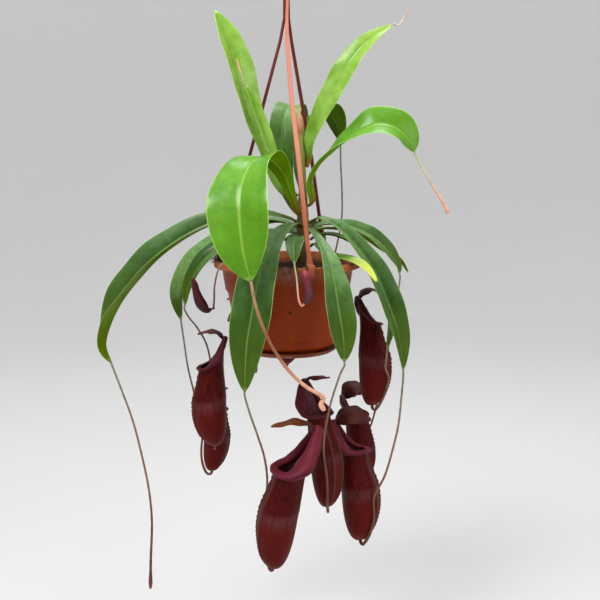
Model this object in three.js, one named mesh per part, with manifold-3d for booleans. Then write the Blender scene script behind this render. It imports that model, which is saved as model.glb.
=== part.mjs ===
// Hanging pitcher plant: a tropical pitcher plant in a plastic hanging pot.
// Millimetres, +Z up. The origin is the seat inside the hook that the pot hangs by.
import * as THREE from 'three';
import { mergeVertices } from 'three/addons/utils/BufferGeometryUtils.js';
import Module from 'manifold-3d';

const wasm = await Module();
wasm.setup();

// Driving dimensions
const RIM_DROP = 310;          // hook seat down to the pot's rim
const RIM_RADIUS = 71;         // outside of the pot's lip
const POT_HEIGHT = 82.5;
const POT_BASE_RADIUS = 47;
const WALL = 1.6;              // pot and saucer wall
const HUB_HEIGHT = 252;        // hub of the hanger above the rim
const SEAT_GAP = 0.3;          // clearance between pieces that rest on each other
const BLADE = 0.8;             // thickness of a leaf blade
const CUP_WALL = 1.0;          // thickness of a pitcher's wall
const STEM_X = 15;             // the stem stands a little right of the pot's axis

const vec = (p) => new THREE.Vector3(p[0], p[1], p[2]);
const polar = (degrees) => {
  const angle = THREE.MathUtils.degToRad(degrees);
  return new THREE.Vector3(Math.cos(angle), Math.sin(angle), 0);
};

// ---------------------------------------------------------------- solids

function indexed(points, faces) {
  const geometry = new THREE.BufferGeometry();
  const numbers = points.flatMap((p) => [p.x, p.y, p.z]);
  geometry.setAttribute('position', new THREE.Float32BufferAttribute(numbers, 3));
  geometry.setIndex(faces);
  return geometry;
}

function toManifold(source) {
  const bare = source.clone();
  bare.deleteAttribute('normal');
  bare.deleteAttribute('uv');
  const merged = mergeVertices(bare, 1e-4);
  const mesh = new wasm.Mesh({
    numProp: 3,
    vertProperties: new Float32Array(merged.attributes.position.array),
    triVerts: new Uint32Array(merged.index.array),
  });
  return new wasm.Manifold(mesh);
}

function fromManifold(solid) {
  const mesh = solid.getMesh();
  const geometry = new THREE.BufferGeometry();
  geometry.setAttribute('position', new THREE.Float32BufferAttribute(mesh.vertProperties, 3));
  geometry.setIndex([...mesh.triVerts]);
  return geometry;
}

const union = (geometries) => fromManifold(geometries.map(toManifold).reduce((all, one) => all.add(one)));
const cut = (geometry, tools) => fromManifold(
  tools.map(toManifold).reduce((rest, tool) => rest.subtract(tool), toManifold(geometry)));

// A lathe about +Z from [radius, height] points that start and end on the axis or close on themselves.
function lathe(profile, segments) {
  const geometry = new THREE.LatheGeometry(profile.map(([r, z]) => new THREE.Vector2(r, z)), segments);
  geometry.rotateX(Math.PI / 2);
  return geometry;
}

// Skin over rings of equal length. flip(j) turns a quad's diagonal the other way.
function skin(rings, caps, flip = () => false) {
  const count = rings[0].length;
  const faces = [];
  for (let i = 0; i < rings.length - 1; i += 1) {
    for (let j = 0; j < count; j += 1) {
      const k = (j + 1) % count;
      const [a, b, c, d] = [i * count + j, i * count + k, (i + 1) * count + k, (i + 1) * count + j];
      faces.push(...(flip(j) ? [a, b, d, b, c, d] : [a, b, c, a, c, d]));
    }
  }
  caps(faces, 0, count, false);
  caps(faces, (rings.length - 1) * count, count, true);
  return indexed(rings.flat(), faces);
}

function fanCap(faces, start, count, far) {
  for (let j = 1; j < count - 1; j += 1) {
    faces.push(...(far ? [start, start + j, start + j + 1] : [start, start + j + 1, start + j]));
  }
}

// A thin section is closed by strips between its upper and lower edge.
function stripCap(faces, start, count, far) {
  for (let j = 0; j < count / 2 - 1; j += 1) {
    const [a, b] = [start + j, start + j + 1];
    const [c, d] = [start + count - 2 - j, start + count - 1 - j];
    faces.push(...(far ? [a, b, c, a, c, d] : [a, c, b, a, d, c]));
  }
}

const route = (points) => new THREE.CatmullRomCurve3(points, false, 'centripetal');

// Round, tapering shoot along a route: radius is a function of the share of its length.
function shoot(points, radius, sides, stations) {
  const curve = route(points);
  const rings = [];
  let normal = null;
  for (let i = 0; i <= stations; i += 1) {
    const t = i / stations;
    const centre = curve.getPointAt(t);
    const tangent = curve.getTangentAt(t);
    if (!normal) {
      normal = new THREE.Vector3(0, 1, 0);
      if (Math.abs(tangent.y) > 0.9) normal.set(1, 0, 0);
    }
    normal.addScaledVector(tangent, -normal.dot(tangent)).normalize();
    const side = tangent.clone().cross(normal);
    rings.push(Array.from({ length: sides }, (_, j) => {
      const angle = (2 * Math.PI * j) / sides;
      return centre.clone()
        .addScaledVector(normal, radius(t) * Math.cos(angle))
        .addScaledVector(side, radius(t) * Math.sin(angle));
    }));
  }
  return skin(rings, fanCap);
}

const smooth = (t) => t * t * (3 - 2 * t);
const mix = (a, b, t) => a + (b - a) * t;

// Value of a short list of stations spread evenly over 0..1.
function along(list, t) {
  const place = Math.min(t, 0.9999) * (list.length - 1);
  const i = Math.floor(place);
  return list[i].clone().lerp(list[i + 1], place - i);
}

// ---------------------------------------------------------------- pot, saucer and mix

const LIP_DROP = 6.5;
const LIP_OVERHANG = 6.5;
const BAND_DROP = 29.5;
const BAND_STEP = 1.6;
const FOOT_RADIUS = 38;
const FOOT_DROP = 4.2;
const POST_RADIUS = 5;
const POST_HEAD = 7.5;
const ROUND_SEGMENTS = 30;
const SAUCER_RADIUS = 49.5;
const MIX_DROP = 10;           // surface of the mix below the rim

function potWallRadius(drop) {
  const top = RIM_RADIUS - LIP_OVERHANG;
  const slope = (top - POT_BASE_RADIUS - 3 - BAND_STEP) / POT_HEIGHT;
  return top - slope * drop - (drop > BAND_DROP ? BAND_STEP : 0);
}

function buildPot() {
  const floor = -POT_HEIGHT + 2;
  const outer = [
    [POST_RADIUS + SEAT_GAP, floor - 2], [FOOT_RADIUS - 2, floor - 2],
    [FOOT_RADIUS - 2, floor - 2 - FOOT_DROP], [FOOT_RADIUS, floor - 2 - FOOT_DROP], [FOOT_RADIUS, floor - 2],
    [POT_BASE_RADIUS - 2.5, -POT_HEIGHT], [POT_BASE_RADIUS, -POT_HEIGHT + 2.5],
    [POT_BASE_RADIUS + 2.6, -POT_HEIGHT + 9], [POT_BASE_RADIUS + 3.4, -POT_HEIGHT + 10],
    [potWallRadius(BAND_DROP + 1), -BAND_DROP - 1], [potWallRadius(BAND_DROP - 1), -BAND_DROP + 1],
    [potWallRadius(LIP_DROP), -LIP_DROP], [RIM_RADIUS - 0.5, -LIP_DROP], [RIM_RADIUS, -LIP_DROP + 1],
    [RIM_RADIUS, -1], [RIM_RADIUS - 1, 0],
  ];
  const inner = [
    [RIM_RADIUS - 4, 0], [potWallRadius(LIP_DROP) - WALL, -LIP_DROP],
    [potWallRadius(BAND_DROP + 1) - WALL, -BAND_DROP - 1],
    [POT_BASE_RADIUS + 1, -POT_HEIGHT + 9], [POT_BASE_RADIUS - 3, floor], [POST_RADIUS + SEAT_GAP, floor],
  ];
  return lathe([...outer, ...inner, outer[0]], ROUND_SEGMENTS);
}

function buildSaucer() {
  const top = -POT_HEIGHT - 1.4;
  const base = -POT_HEIGHT - FOOT_DROP - SEAT_GAP - WALL;
  const floor = -POT_HEIGHT + 2;
  return lathe([
    [0, base], [SAUCER_RADIUS - 5, base], [SAUCER_RADIUS - 2, base + 2], [SAUCER_RADIUS, top - 1],
    [SAUCER_RADIUS - 0.5, top], [SAUCER_RADIUS - WALL, top], [SAUCER_RADIUS - 4, base + WALL + 1],
    [SAUCER_RADIUS - 6, base + WALL], [POST_RADIUS, base + WALL], [POST_RADIUS, floor + SEAT_GAP],
    [POST_HEAD, floor + SEAT_GAP], [POST_RADIUS, floor + 3], [0, floor + 3],
  ], ROUND_SEGMENTS);
}

// Small mounds in the surface of the mix.
const crumb = (x, y) => 0.8 * Math.sin(x * 0.42 + 1.3 * Math.sin(y * 0.3))
  + 0.7 * Math.cos(y * 0.5 + x * 0.21);

function buildMix() {
  const outer = potWallRadius(MIX_DROP) - WALL - SEAT_GAP - 0.4;
  const low = -POT_HEIGHT + 2 + SEAT_GAP;
  const body = lathe([
    [0, low + 5], [POST_HEAD + 1, low + 5], [POST_HEAD + 1, low], [POT_BASE_RADIUS - 4, low],
    [POT_BASE_RADIUS + 0.2, -POT_HEIGHT + 9.2], [potWallRadius(BAND_DROP + 1) - WALL - 0.5, -BAND_DROP - 1],
    [outer, -MIX_DROP], [outer * 0.8, -MIX_DROP + 2], [outer * 0.6, -MIX_DROP + 3],
    [outer * 0.4, -MIX_DROP + 3.6], [outer * 0.2, -MIX_DROP + 4], [0, -MIX_DROP + 4],
  ], 24);
  const place = body.attributes.position;
  for (let i = 0; i < place.count; i += 1) {
    const [x, y, z] = [place.getX(i), place.getY(i), place.getZ(i)];
    if (z > -MIX_DROP + 1) place.setZ(i, z + crumb(x, y));
  }
  const hole = new THREE.CylinderGeometry(STEM_FOOT + SEAT_GAP, STEM_FOOT + SEAT_GAP, 40, 12);
  hole.rotateX(Math.PI / 2);
  hole.translate(STEM_X, 0, STEM_BASE - SEAT_GAP + 20);
  return cut(body, [hole]);
}

// ---------------------------------------------------------------- hanger

const STRAND_WIDTH = 4.2;
const STRAND_DEPTH = 2.4;
const CLIP_WIDTH = 1.7;        // of the clip on the lip, as a share of the strand's
const HUB_RADIUS = 4.6;
const HOOK_RADIUS = 13;        // inside of the hook
const HOOK_FLAT = 5;           // half length of the flat seat
const HOOK_SECTION = 5;
// From the hub down: distance from the middle, height, share of the full width, share of the bow.
// The strands run close together at first and then spread.
const STRAND_LINE = [
  [2.6, HUB_HEIGHT - SEAT_GAP, 0.5, 0], [2.8, 226, 0.6, 0.3], [7.5, 205, 0.85, 0.7], [24.5, 152, 1, 1],
  [43.5, 94, 1, 0.75], [RIM_RADIUS - 6, 9, 1, 0],
];
// Where each strand meets the rim, degrees from +X, and how far it bows sideways.
const STRANDS = { front: [-72, -3.5], left: [151, 0], back: [57, 0] };

// Hook in the XZ plane: a straight shank, then an arc with a flat crown over the seat.
function hookCentreline() {
  const seat = RIM_DROP + HOOK_SECTION / 2;
  const middle = RIM_DROP - HOOK_RADIUS;
  const radius = HOOK_RADIUS + HOOK_SECTION / 2;
  const arc = (from, to, shift, steps) => Array.from({ length: steps + 1 }, (_, i) => {
    const angle = THREE.MathUtils.degToRad(mix(from, to, i / steps));
    return [shift + radius * Math.cos(angle), middle + radius * Math.sin(angle)];
  });
  const rising = arc(-62, 82, HOOK_FLAT, 9);
  const falling = arc(98, 200, -HOOK_FLAT, 7);
  return [
    [0, HUB_HEIGHT + 3], [0, middle - radius - 8], [3, middle - radius - 3],
    ...rising, [HOOK_FLAT, seat], [-HOOK_FLAT, seat], ...falling,
  ];
}

function buildHook() {
  const line = hookCentreline();
  const half = HOOK_SECTION / 2;
  const offset = (i, side) => {
    const before = line[Math.max(i - 1, 0)];
    const after = line[Math.min(i + 1, line.length - 1)];
    const into = line[i];
    const unit = (p, q) => new THREE.Vector2(q[0] - p[0], q[1] - p[1]).normalize();
    const first = i > 0 ? unit(before, into) : unit(into, after);
    const second = i < line.length - 1 ? unit(into, after) : unit(before, into);
    const mean = first.clone().add(second).normalize();
    const reach = half / Math.max(mean.dot(first), 0.5);
    return new THREE.Vector2(into[0] - side * mean.y * reach, into[1] + side * mean.x * reach);
  };
  const outline = [
    ...line.map((_, i) => offset(i, 1)),
    ...line.map((_, i) => offset(line.length - 1 - i, -1)),
  ];
  const shape = new THREE.Shape(outline);
  const hook = new THREE.ExtrudeGeometry(shape, { depth: HOOK_SECTION, bevelEnabled: false });
  hook.translate(0, 0, -half);
  hook.rotateX(Math.PI / 2);
  const hub = lathe([
    [0, HUB_HEIGHT], [HUB_RADIUS - 0.6, HUB_HEIGHT], [HUB_RADIUS, HUB_HEIGHT + 1],
    [HUB_RADIUS, HUB_HEIGHT + 4], [3, HUB_HEIGHT + 8], [0, HUB_HEIGHT + 8],
  ], 12);
  return union([hook, hub]);
}

// Flat strand from the hub down to a clip that grips the pot's lip.
function buildStrand([degrees, bow]) {
  const out = polar(degrees);
  const side = new THREE.Vector3(-out.y, out.x, 0);
  const at = (r, z) => out.clone().multiplyScalar(r).setZ(z);
  const outside = RIM_RADIUS + SEAT_GAP + STRAND_DEPTH / 2;
  const over = SEAT_GAP + STRAND_DEPTH / 2;
  const ends = [
    ...STRAND_LINE.map(([r, z, , share]) => at(r, z).addScaledVector(side, bow * share)),
    at(RIM_RADIUS - 3, over + 0.6), at(outside, over - 0.2), at(outside, -LIP_DROP - SEAT_GAP),
  ];
  const widths = [...STRAND_LINE.map(([, , width]) => width), CLIP_WIDTH - 0.1, CLIP_WIDTH, CLIP_WIDTH];
  const rings = ends.map((centre, i) => {
    const before = centre.clone().sub(ends[Math.max(i - 1, 0)]).normalize();
    const after = ends[Math.min(i + 1, ends.length - 1)].clone().sub(centre).normalize();
    const tangent = before.add(after).normalize();
    if (i === 0) tangent.set(0, 0, -1);
    const depth = side.clone().cross(tangent).normalize().multiplyScalar(STRAND_DEPTH / 2);
    const width = side.clone().multiplyScalar(widths[i] * STRAND_WIDTH / 2);
    return [[-1, 1], [1, 1], [1, -1], [-1, -1]].map(([a, b]) => centre.clone()
      .addScaledVector(width, a).addScaledVector(depth, b));
  });
  const strand = skin(rings, fanCap);
  const toe = LIP_OVERHANG + STRAND_DEPTH - 0.8;
  const clip = new THREE.BoxGeometry(toe, STRAND_WIDTH * CLIP_WIDTH, STRAND_DEPTH);
  clip.translate(RIM_RADIUS + SEAT_GAP + STRAND_DEPTH - toe / 2, 0,
    -LIP_DROP - SEAT_GAP - STRAND_DEPTH / 2 + 0.01);
  clip.rotateZ(THREE.MathUtils.degToRad(degrees));
  return union([strand, clip]);
}

// ---------------------------------------------------------------- stem

const STEM_BASE = -26;
const STEM_FOOT = 6.6;
const STEM_POINTS = [
  [15, 0, STEM_BASE], [15, 0, 0], [15, 0, 40], [14.5, 1, 72], [13.5, 2, 100], [13, 3, 122],
];
const STEM_RADII = [6.6, 6.4, 5.8, 4.2, 3, 2.4];

const stemRoute = route(STEM_POINTS.map(vec));

function stemRadius(t) {
  const place = Math.min(t, 0.9999) * (STEM_RADII.length - 1);
  const i = Math.floor(place);
  return mix(STEM_RADII[i], STEM_RADII[i + 1], place - i);
}

function stemAt(height) {
  let low = 0;
  let high = 1;
  for (let i = 0; i < 24; i += 1) {
    const middle = (low + high) / 2;
    if (stemRoute.getPointAt(middle).z < height) low = middle;
    else high = middle;
  }
  return { centre: stemRoute.getPointAt(low), radius: stemRadius(low) };
}

function buildStem() {
  const trunk = shoot(STEM_POINTS.map(vec), stemRadius, 10, 12);
  const bud = shoot([[13, 3, 118], [12.4, 3, 128], [11.4, 3, 138], [10.4, 3, 145]].map(vec),
    (t) => 2.2 + 2.2 * Math.sin(Math.PI * Math.min(t * 1.25, 1)) * (1 - t * 0.4) - 1.6 * t, 8, 6);
  return union([trunk, bud]);
}

// ---------------------------------------------------------------- leaves

// at: [degrees round the stem, height above the rim] of the leaf's foot; spine: the points after it;
// up: directions that the upper face looks in, from foot to tip; half: half width; peak: where it is widest;
// fold: rise of each half towards its margin, as a share of the half width; lead: how far out and up the leaf
// goes before its first spine point, where that isn't LEAD.
const LEAVES = {
  upper_left: {
    at: [186, 52], half: 16.5, peak: 0.72, fold: 0.55,
    spine: [[-9, -5, 72], [-21, -8, 100], [-31, -10, 124], [-40, -11, 152], [-48, -11, 179], [-57, -9, 206],
      [-67, -4, 232]],
    up: [[-1, -0.3, 0.3], [0.7, -0.9, 0.4], [0.9, -0.8, 0.4], [0.9, -0.9, 0.3]],
  },
  young: {
    at: [212, 62], half: 6, peak: 0.62, fold: 1.1,
    spine: [[-6, -14, 80], [-17, -19, 104], [-26, -21, 130], [-33, -22, 150], [-38, -22, 163]],
    up: [[0.9, 0.4, 0.4], [0.6, -1, 0.5], [0.6, -1, 0.4]],
  },
  upper_right: {
    at: [10, 88], lead: [2.4, 7], half: 12.5, peak: 0.55, fold: 0.3,
    spine: [[21.5, -2, 112], [32, -8, 137], [46, -11, 163], [60, -11, 187], [77, -8, 206], [97, -2, 219]],
    up: [[-0.7, -0.7, 0.3], [-0.6, -0.9, 0.5], [-0.3, -0.8, 0.7], [-0.1, -0.8, 0.7]],
  },
  right_arch: {
    at: [322, 52], lead: [6, 3.4], foot: 4.8, half: 20, peak: 0.78, fold: 0.35,
    spine: [[22, -13, 75], [29, -18, 91], [42, -24, 104], [56, -28, 115], [83, -32, 128], [101, -31, 124],
      [112, -28, 114], [118, -26, 103]],
    up: [[-0.5, 0.3, 0.7], [-0.5, 0, 0.9], [0, -0.7, 1], [0.6, -0.9, 0.6]],
  },
  back_centre: {
    at: [128, 44], half: 13.5, peak: 0.5, fold: 0.25,
    spine: [[-3, 12, 75], [-6, 16, 106], [-4, 27, 131], [1, 44, 144], [7, 72, 145], [13, 98, 128],
      [17, 114, 100]],
    up: [[0.4, -1, 0.2], [0.2, -1, 0.1], [0, -0.3, 1], [0, 0.8, 0.6]],
  },
  back_right: {
    at: [84, 56], half: 14, peak: 0.72, fold: 0.3,
    spine: [[11, 23, 84], [15, 44, 112], [26, 57, 132], [38, 67, 142], [46, 75, 136], [51, 79, 124],
      [53, 80, 112]],
    up: [[-0.5, -0.7, 0.3], [-0.5, -0.5, 0.7], [0, 0.2, 1], [0.3, 0.9, 0.2]],
  },
  front_left_bright: {
    at: [238, 44], half: 28, peak: 0.7, fold: 0.22,
    spine: [[4, -13, 62], [-4, -24, 84], [-16, -42, 98], [-29, -60, 96], [-37, -76, 83], [-41, -89, 62],
      [-40, -97, 39], [-37, -101, 17], [-31, -101, -7]],
    up: [[-0.4, 0.6, 0.8], [-0.3, 0.3, 1], [-0.5, -0.9, 0.7], [-0.2, -1, 0.2], [0.1, -1, -0.1]],
  },
  far_left: {
    at: [196, 36], half: 17, peak: 0.66, fold: 0.8,
    spine: [[-16, -10, 44], [-47, -14, 43], [-75, -16, 34], [-99, -17, 21], [-122, -18, 4], [-140, -18, -15],
      [-157, -17, -36], [-170, -16, -60], [-176, -15, -82], [-171, -14, -99]],
    up: [[0, -0.5, 1], [-0.3, -0.7, 1], [-0.8, -0.6, 0.7], [-0.9, -0.4, 0.3], [-0.9, 0.15, 0]],
  },
  left_outer: {
    at: [140, 30], half: 15, peak: 0.66, fold: 0.45,
    spine: [[-14, 27, 35], [-43, 49, 27], [-70, 54, 12], [-90, 47, -3], [-102, 34, -20], [-107, 20, -40],
      [-105, 9, -61]],
    up: [[0, 0.1, 1], [-0.4, -0.1, 1], [-0.8, -0.5, 0.5], [-0.6, -0.8, 0.1]],
  },
  left_inner: {
    at: [192, 24], half: 9, peak: 0.6, fold: 0.4,
    spine: [[-18, -12, 27], [-49, -19, 20], [-71, -22, 9], [-85, -22, -6], [-94, -20, -23], [-98, -18, -42]],
    up: [[0, -0.2, 1], [-0.3, -0.5, 1], [-0.7, -0.8, 0.5], [-0.6, -1, 0.1]],
  },
  front_left_dark: {
    at: [247, 32], half: 18.5, peak: 0.6, fold: 0.3,
    spine: [[4, -25, 36], [-8, -46, 27], [-18, -66, 12], [-26, -80, -13], [-31, -87, -40], [-35, -88, -62],
      [-37, -87, -84], [-38, -84, -110]],
    up: [[-0.1, -0.3, 1], [-0.4, -0.6, 0.8], [-0.3, -1, 0.3], [-0.1, -1, 0], [0, -1, -0.1]],
  },
  front_right_dark: {
    at: [293, 28], half: 14, peak: 0.71, fold: 0.35,
    spine: [[23, -24, 30], [31, -42, 21], [38, -61, 8], [43, -76, -12], [46, -83, -31], [49, -86, -48],
      [51, -86, -62], [52, -85, -82]],
    up: [[0.1, -0.3, 1], [0.5, -0.6, 0.7], [0.4, -0.9, 0.3], [0.2, -1, 0]],
  },
  right_long: {
    at: [326, 36], half: 13.5, peak: 0.6, fold: 0.55,
    spine: [[30, -10, 41], [44, -13, 35], [58, -18, 23], [72, -22, 6], [84, -25, -13], [95, -26, -38],
      [104, -26, -63], [109, -25, -86], [111, -24, -104]],
    up: [[0, -0.2, 1], [0.3, -0.6, 0.8], [0.6, -0.9, 0.3], [0.7, -0.9, 0.1]],
  },
  right_upper: {
    at: [12, 27], half: 10, peak: 0.6, fold: 0.35,
    spine: [[30, 4, 33], [42, 8, 34], [54, 14, 32], [67, 20, 28], [80, 26, 21.5], [92.5, 31, 12],
      [103, 34, 0.5], [110.5, 36, -11], [112, 36, -19]],
    up: [[0, 0, 1], [0.2, -0.5, 1], [0.5, -0.8, 0.8], [0.8, -0.8, 0.3]],
  },
  right_short: {
    at: [334, 13], half: 7, peak: 0.55, fold: 0.35,
    spine: [[35, -18, 9], [49, -30, 4.5], [60, -38, 3.4], [73, -45, -3], [83, -48, -15]],
    up: [[0, 0, 1], [0.2, -0.3, 1], [0.6, -0.8, 0.7]],
  },
  right_hanging: {
    at: [16, 19], half: 10, peak: 0.66, fold: 0.35,
    spine: [[41, 7, 24], [63, 8, 15], [80, 5, -4], [93, -1, -30], [99, -6, -57], [97, -8, -86]],
    up: [[0, 0, 1], [0.5, -0.3, 0.9], [0.9, -0.5, 0.3], [0.8, -0.7, 0]],
  },
  front_short: {
    at: [268, 20], half: 8.5, peak: 0.6, fold: 0.35,
    spine: [[12, -22, 24], [9, -40, 24], [6.5, -58, 18], [7, -73, 6]],
    up: [[0, -0.1, 1], [0, -0.4, 1], [0, -0.8, 0.6]],
  },
  back_left: {
    at: [130, 22], half: 8, peak: 0.6, fold: 0.3,
    spine: [[-3, 30, 33], [-23, 60, 29], [-40, 85, 17], [-48, 100, -3]],
    up: [[0, 0, 1], [-0.2, 0.3, 1], [-0.5, 0.8, 0.4]],
  },
  back_far_right: {
    at: [84, 28], half: 8, peak: 0.6, fold: 0.3,
    spine: [[18, 31, 34], [24, 60, 29], [32, 84, 12], [36, 98, -10]],
    up: [[0, 0, 1], [0.2, 0.4, 1], [0.4, 0.9, 0.3]],
  },
  right_back_lime: {
    at: [46, 24], half: 7.5, peak: 0.66, fold: 0.3,
    spine: [[41, 26, 28], [68, 42, 21], [95, 57, 3], [114, 65, -9], [124, 68, -22]],
    up: [[0, 0, 1], [0.2, 0.2, 1], [0.9, 0.4, 0.4]],
  },
  left_short: {
    at: [214, 17], half: 6, peak: 0.6, fold: 0.35,
    spine: [[-16, -24, 20], [-39, -42, 15], [-54, -52, 6]],
    up: [[0, 0, 1], [-0.4, -0.4, 1], [-0.7, -0.7, 0.6]],
  },
};

const LEAD = [5, 3];           // how far a leaf's foot runs out of the stem and up
const FOOT_HALF = 3.0;         // half width of a leaf's foot
const TIP_HALF = 1.1;
const KEEL = 1.3;              // depth of the midrib under the blade
const LEAF_STATIONS = 12;
const SHORT_STATIONS = 8;      // on leaves with a short spine
const ACROSS = [-1, -0.5, 0, 0.5, 1];

function leafSpine(leaf) {
  const [degrees, height] = leaf.at;
  const { centre, radius } = stemAt(height);
  const out = polar(degrees);
  const foot = centre.clone().addScaledVector(out, radius + SEAT_GAP + 0.4);
  const [reach, climb] = leaf.lead ?? LEAD;
  const lead = centre.clone().addScaledVector(out, radius + SEAT_GAP + reach);
  lead.z += climb;
  return route([foot, lead, ...leaf.spine.map(vec)]);
}

function leafHalfWidth(leaf, t) {
  const power = Math.log(0.5) / Math.log(leaf.peak);
  const bulge = Math.sin(Math.PI * t ** power) ** 0.8;
  return mix(mix(leaf.foot ?? FOOT_HALF, TIP_HALF, t), leaf.half, bulge);
}

function buildLeaf(leaf) {
  const curve = leafSpine(leaf);
  const ups = leaf.up.map(vec);
  const rings = [];
  const stations = leaf.spine.length > 5 ? LEAF_STATIONS : SHORT_STATIONS;
  for (let i = 0; i <= stations; i += 1) {
    const t = i / stations;
    const tangent = curve.getTangentAt(t);
    const side = tangent.clone().cross(along(ups, t)).normalize();
    const normal = side.clone().cross(tangent);
    const half = leafHalfWidth(leaf, t);
    const fold = leaf.fold * smooth(Math.min(t * 5, 1));
    const point = (q, drop) => curve.getPointAt(t)
      .addScaledVector(side, q * half)
      .addScaledVector(normal, fold * half * Math.abs(q) ** 0.8 - drop);
    const upper = ACROSS.map((q) => point(q, 0));
    const lower = ACROSS.map((q) => point(q, q === 0 ? BLADE + KEEL * (1 - 0.7 * t) : BLADE)).reverse();
    rings.push([...upper, ...lower]);
  }
  return skin(rings, stripCap, (j) => j >= ACROSS.length);
}

// ---------------------------------------------------------------- pitchers

// leaf: whose tendril carries it; foot: where the tendril enters; mouth: middle of the rim;
// face: degrees from +X that the mouth looks in; width: largest radius; throat: radius under the lip;
// rise: how far the neck stands over the front lip; neck: how narrow it is; flare: width of the ribbed lip;
// lid: [length, half width, arch, rise of its tip], the last two as shares; roll: degrees that the lid leans.
const PITCHERS = {
  left: { leaf: 'left_inner', foot: [-73, 2, -187], mouth: [-73, -2, -107], face: 177, width: 16.5,
    throat: 13.5, rise: 31, flare: 4, lid: [26, 9, 0.22, 0.12], sides: 24 },
  left_back: { leaf: 'left_outer', foot: [-79, 34, -224], mouth: [-74, 34, -158], face: 40, width: 13,
    throat: 10.5, rise: 17, flare: 3.5, lid: [22, 8, 0.15, 0.1], sides: 16 },
  front: { leaf: 'front_left_dark', foot: [-13.5, -64, -287], mouth: [6, -73, -189], face: 186, width: 18.5,
    throat: 16, rise: 46, neck: 2.7, flare: 8.6, lid: [42, 10, 0.15, 0.06], sides: 24 },
  middle: { leaf: 'front_right_dark', foot: [38.5, -36, -237], mouth: [28, -30, -146], face: -40, width: 15.5,
    throat: 12.5, rise: 33, neck: 3.6, flare: 5.5, lid: [30, 8, 0.14, 0.24], sides: 24 },
  right: { leaf: 'right_long', foot: [72, -16, -279], mouth: [62.5, -7, -190], face: -12, width: 18.5,
    throat: 15, rise: 31, neck: 3.4, flare: 5.6, lid: [34, 12, 0.2, 0.25], roll: 30, sides: 24 },
  upper_right: { leaf: 'right_hanging', foot: [84, 9, -148], mouth: [80, 15, -67], face: 12, width: 15.5,
    throat: 11.5, rise: 28, flare: 4, lid: [26, 11, 0.26, 0.04], sides: 24 },
  right_back: { leaf: 'right_upper', foot: [74, 42, -240], mouth: [69, 41, -172], face: 8, width: 14,
    throat: 13, rise: 27, neck: 3.2, flare: 4.5, lid: [24, 11, 0.3, 0.35], roll: 30, sides: 16 },
  back_left: { leaf: 'back_centre', foot: [-38, 92, -130], mouth: [-52, 96, -76], face: 120, width: 12,
    throat: 10, rise: 17, flare: 3.5, lid: [21, 8, 0.15, 0.1], sides: 16 },
  back_right: { leaf: 'back_right', foot: [-4, 92, -124], mouth: [12, 98, -70], face: 60, width: 12,
    throat: 10, rise: 17, flare: 3.5, lid: [21, 8, 0.15, 0.1], sides: 16 },
};

const FOOT_RADIUS_CUP = 1.9;
const NECK_LEAN = 0.08;        // of the neck over the mouth, as a share of its rise
const NECK_POWER = 2.3;        // a larger one makes a narrower neck
const HIP = 0.56;              // where the wall starts to draw in, as a share of the cup's height
const CUP_ROWS = [0, 0.05, 0.15, 0.32, 0.48, 0.66, 0.84, 1];
const INNER_ROWS = [0.95, 0.7, 0.42, 0.18];

function cupRadius(cup, s) {
  const belly = Math.sin(Math.min(s / 0.45, 1) * Math.PI / 2) ** 0.45;
  const waist = s > HIP ? smooth(Math.min((s - HIP) / 0.3, 1)) : 0;
  const flareOut = s > 0.8 ? ((s - 0.8) / 0.2) ** 2 * 0.05 : 0;
  return mix(FOOT_RADIUS_CUP, cup.width, belly) * mix(1, cup.throat / cup.width, waist) * (1 + flareOut);
}

function cupFrame(cup) {
  const foot = vec(cup.foot);
  const mouth = vec(cup.mouth);
  const axis = mouth.clone().sub(foot);
  const height = axis.length();
  const face = polar(cup.face);
  return { foot, height, axis: axis.normalize(), face };
}

// Point of the pitcher's wall: s runs up the wall, phi round it from the front, inset towards the axis.
function cupPoint(cup, s, phi, inset) {
  const { foot, height, axis, face } = cupFrame(cup);
  const back = ((1 - Math.cos(phi)) / 2) ** (cup.neck ?? NECK_POWER);
  const climb = s * height + cup.rise * back * s ** 3;
  const bow = Math.sin(Math.PI * Math.min(s, 1)) * height * 0.05;
  const front = face.clone().addScaledVector(axis, -face.dot(axis)).normalize();
  const side = axis.clone().cross(front);
  const wings = 1 + 0.05 * Math.exp(-(((Math.abs(phi) - 0.42) / 0.14) ** 2)) * Math.sin(Math.PI * s);
  const radius = Math.max(cupRadius(cup, s) * wings - inset, 0.2);
  const lean = cup.rise * back * s ** 3 * NECK_LEAN;
  return foot.clone().addScaledVector(axis, climb)
    .addScaledVector(front, radius * Math.cos(phi) + bow + lean)
    .addScaledVector(side, radius * 0.92 * Math.sin(phi));
}

// Lip over the rim: offsets [outwards, upwards] in the plane square to the rim, as shares of its width.
const LIP_OUTLINE = [[0.62, -0.5], [1, -0.12], [0.5, 0.34], [-0.3, 0.3]];
const RIB = 0.05;

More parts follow.
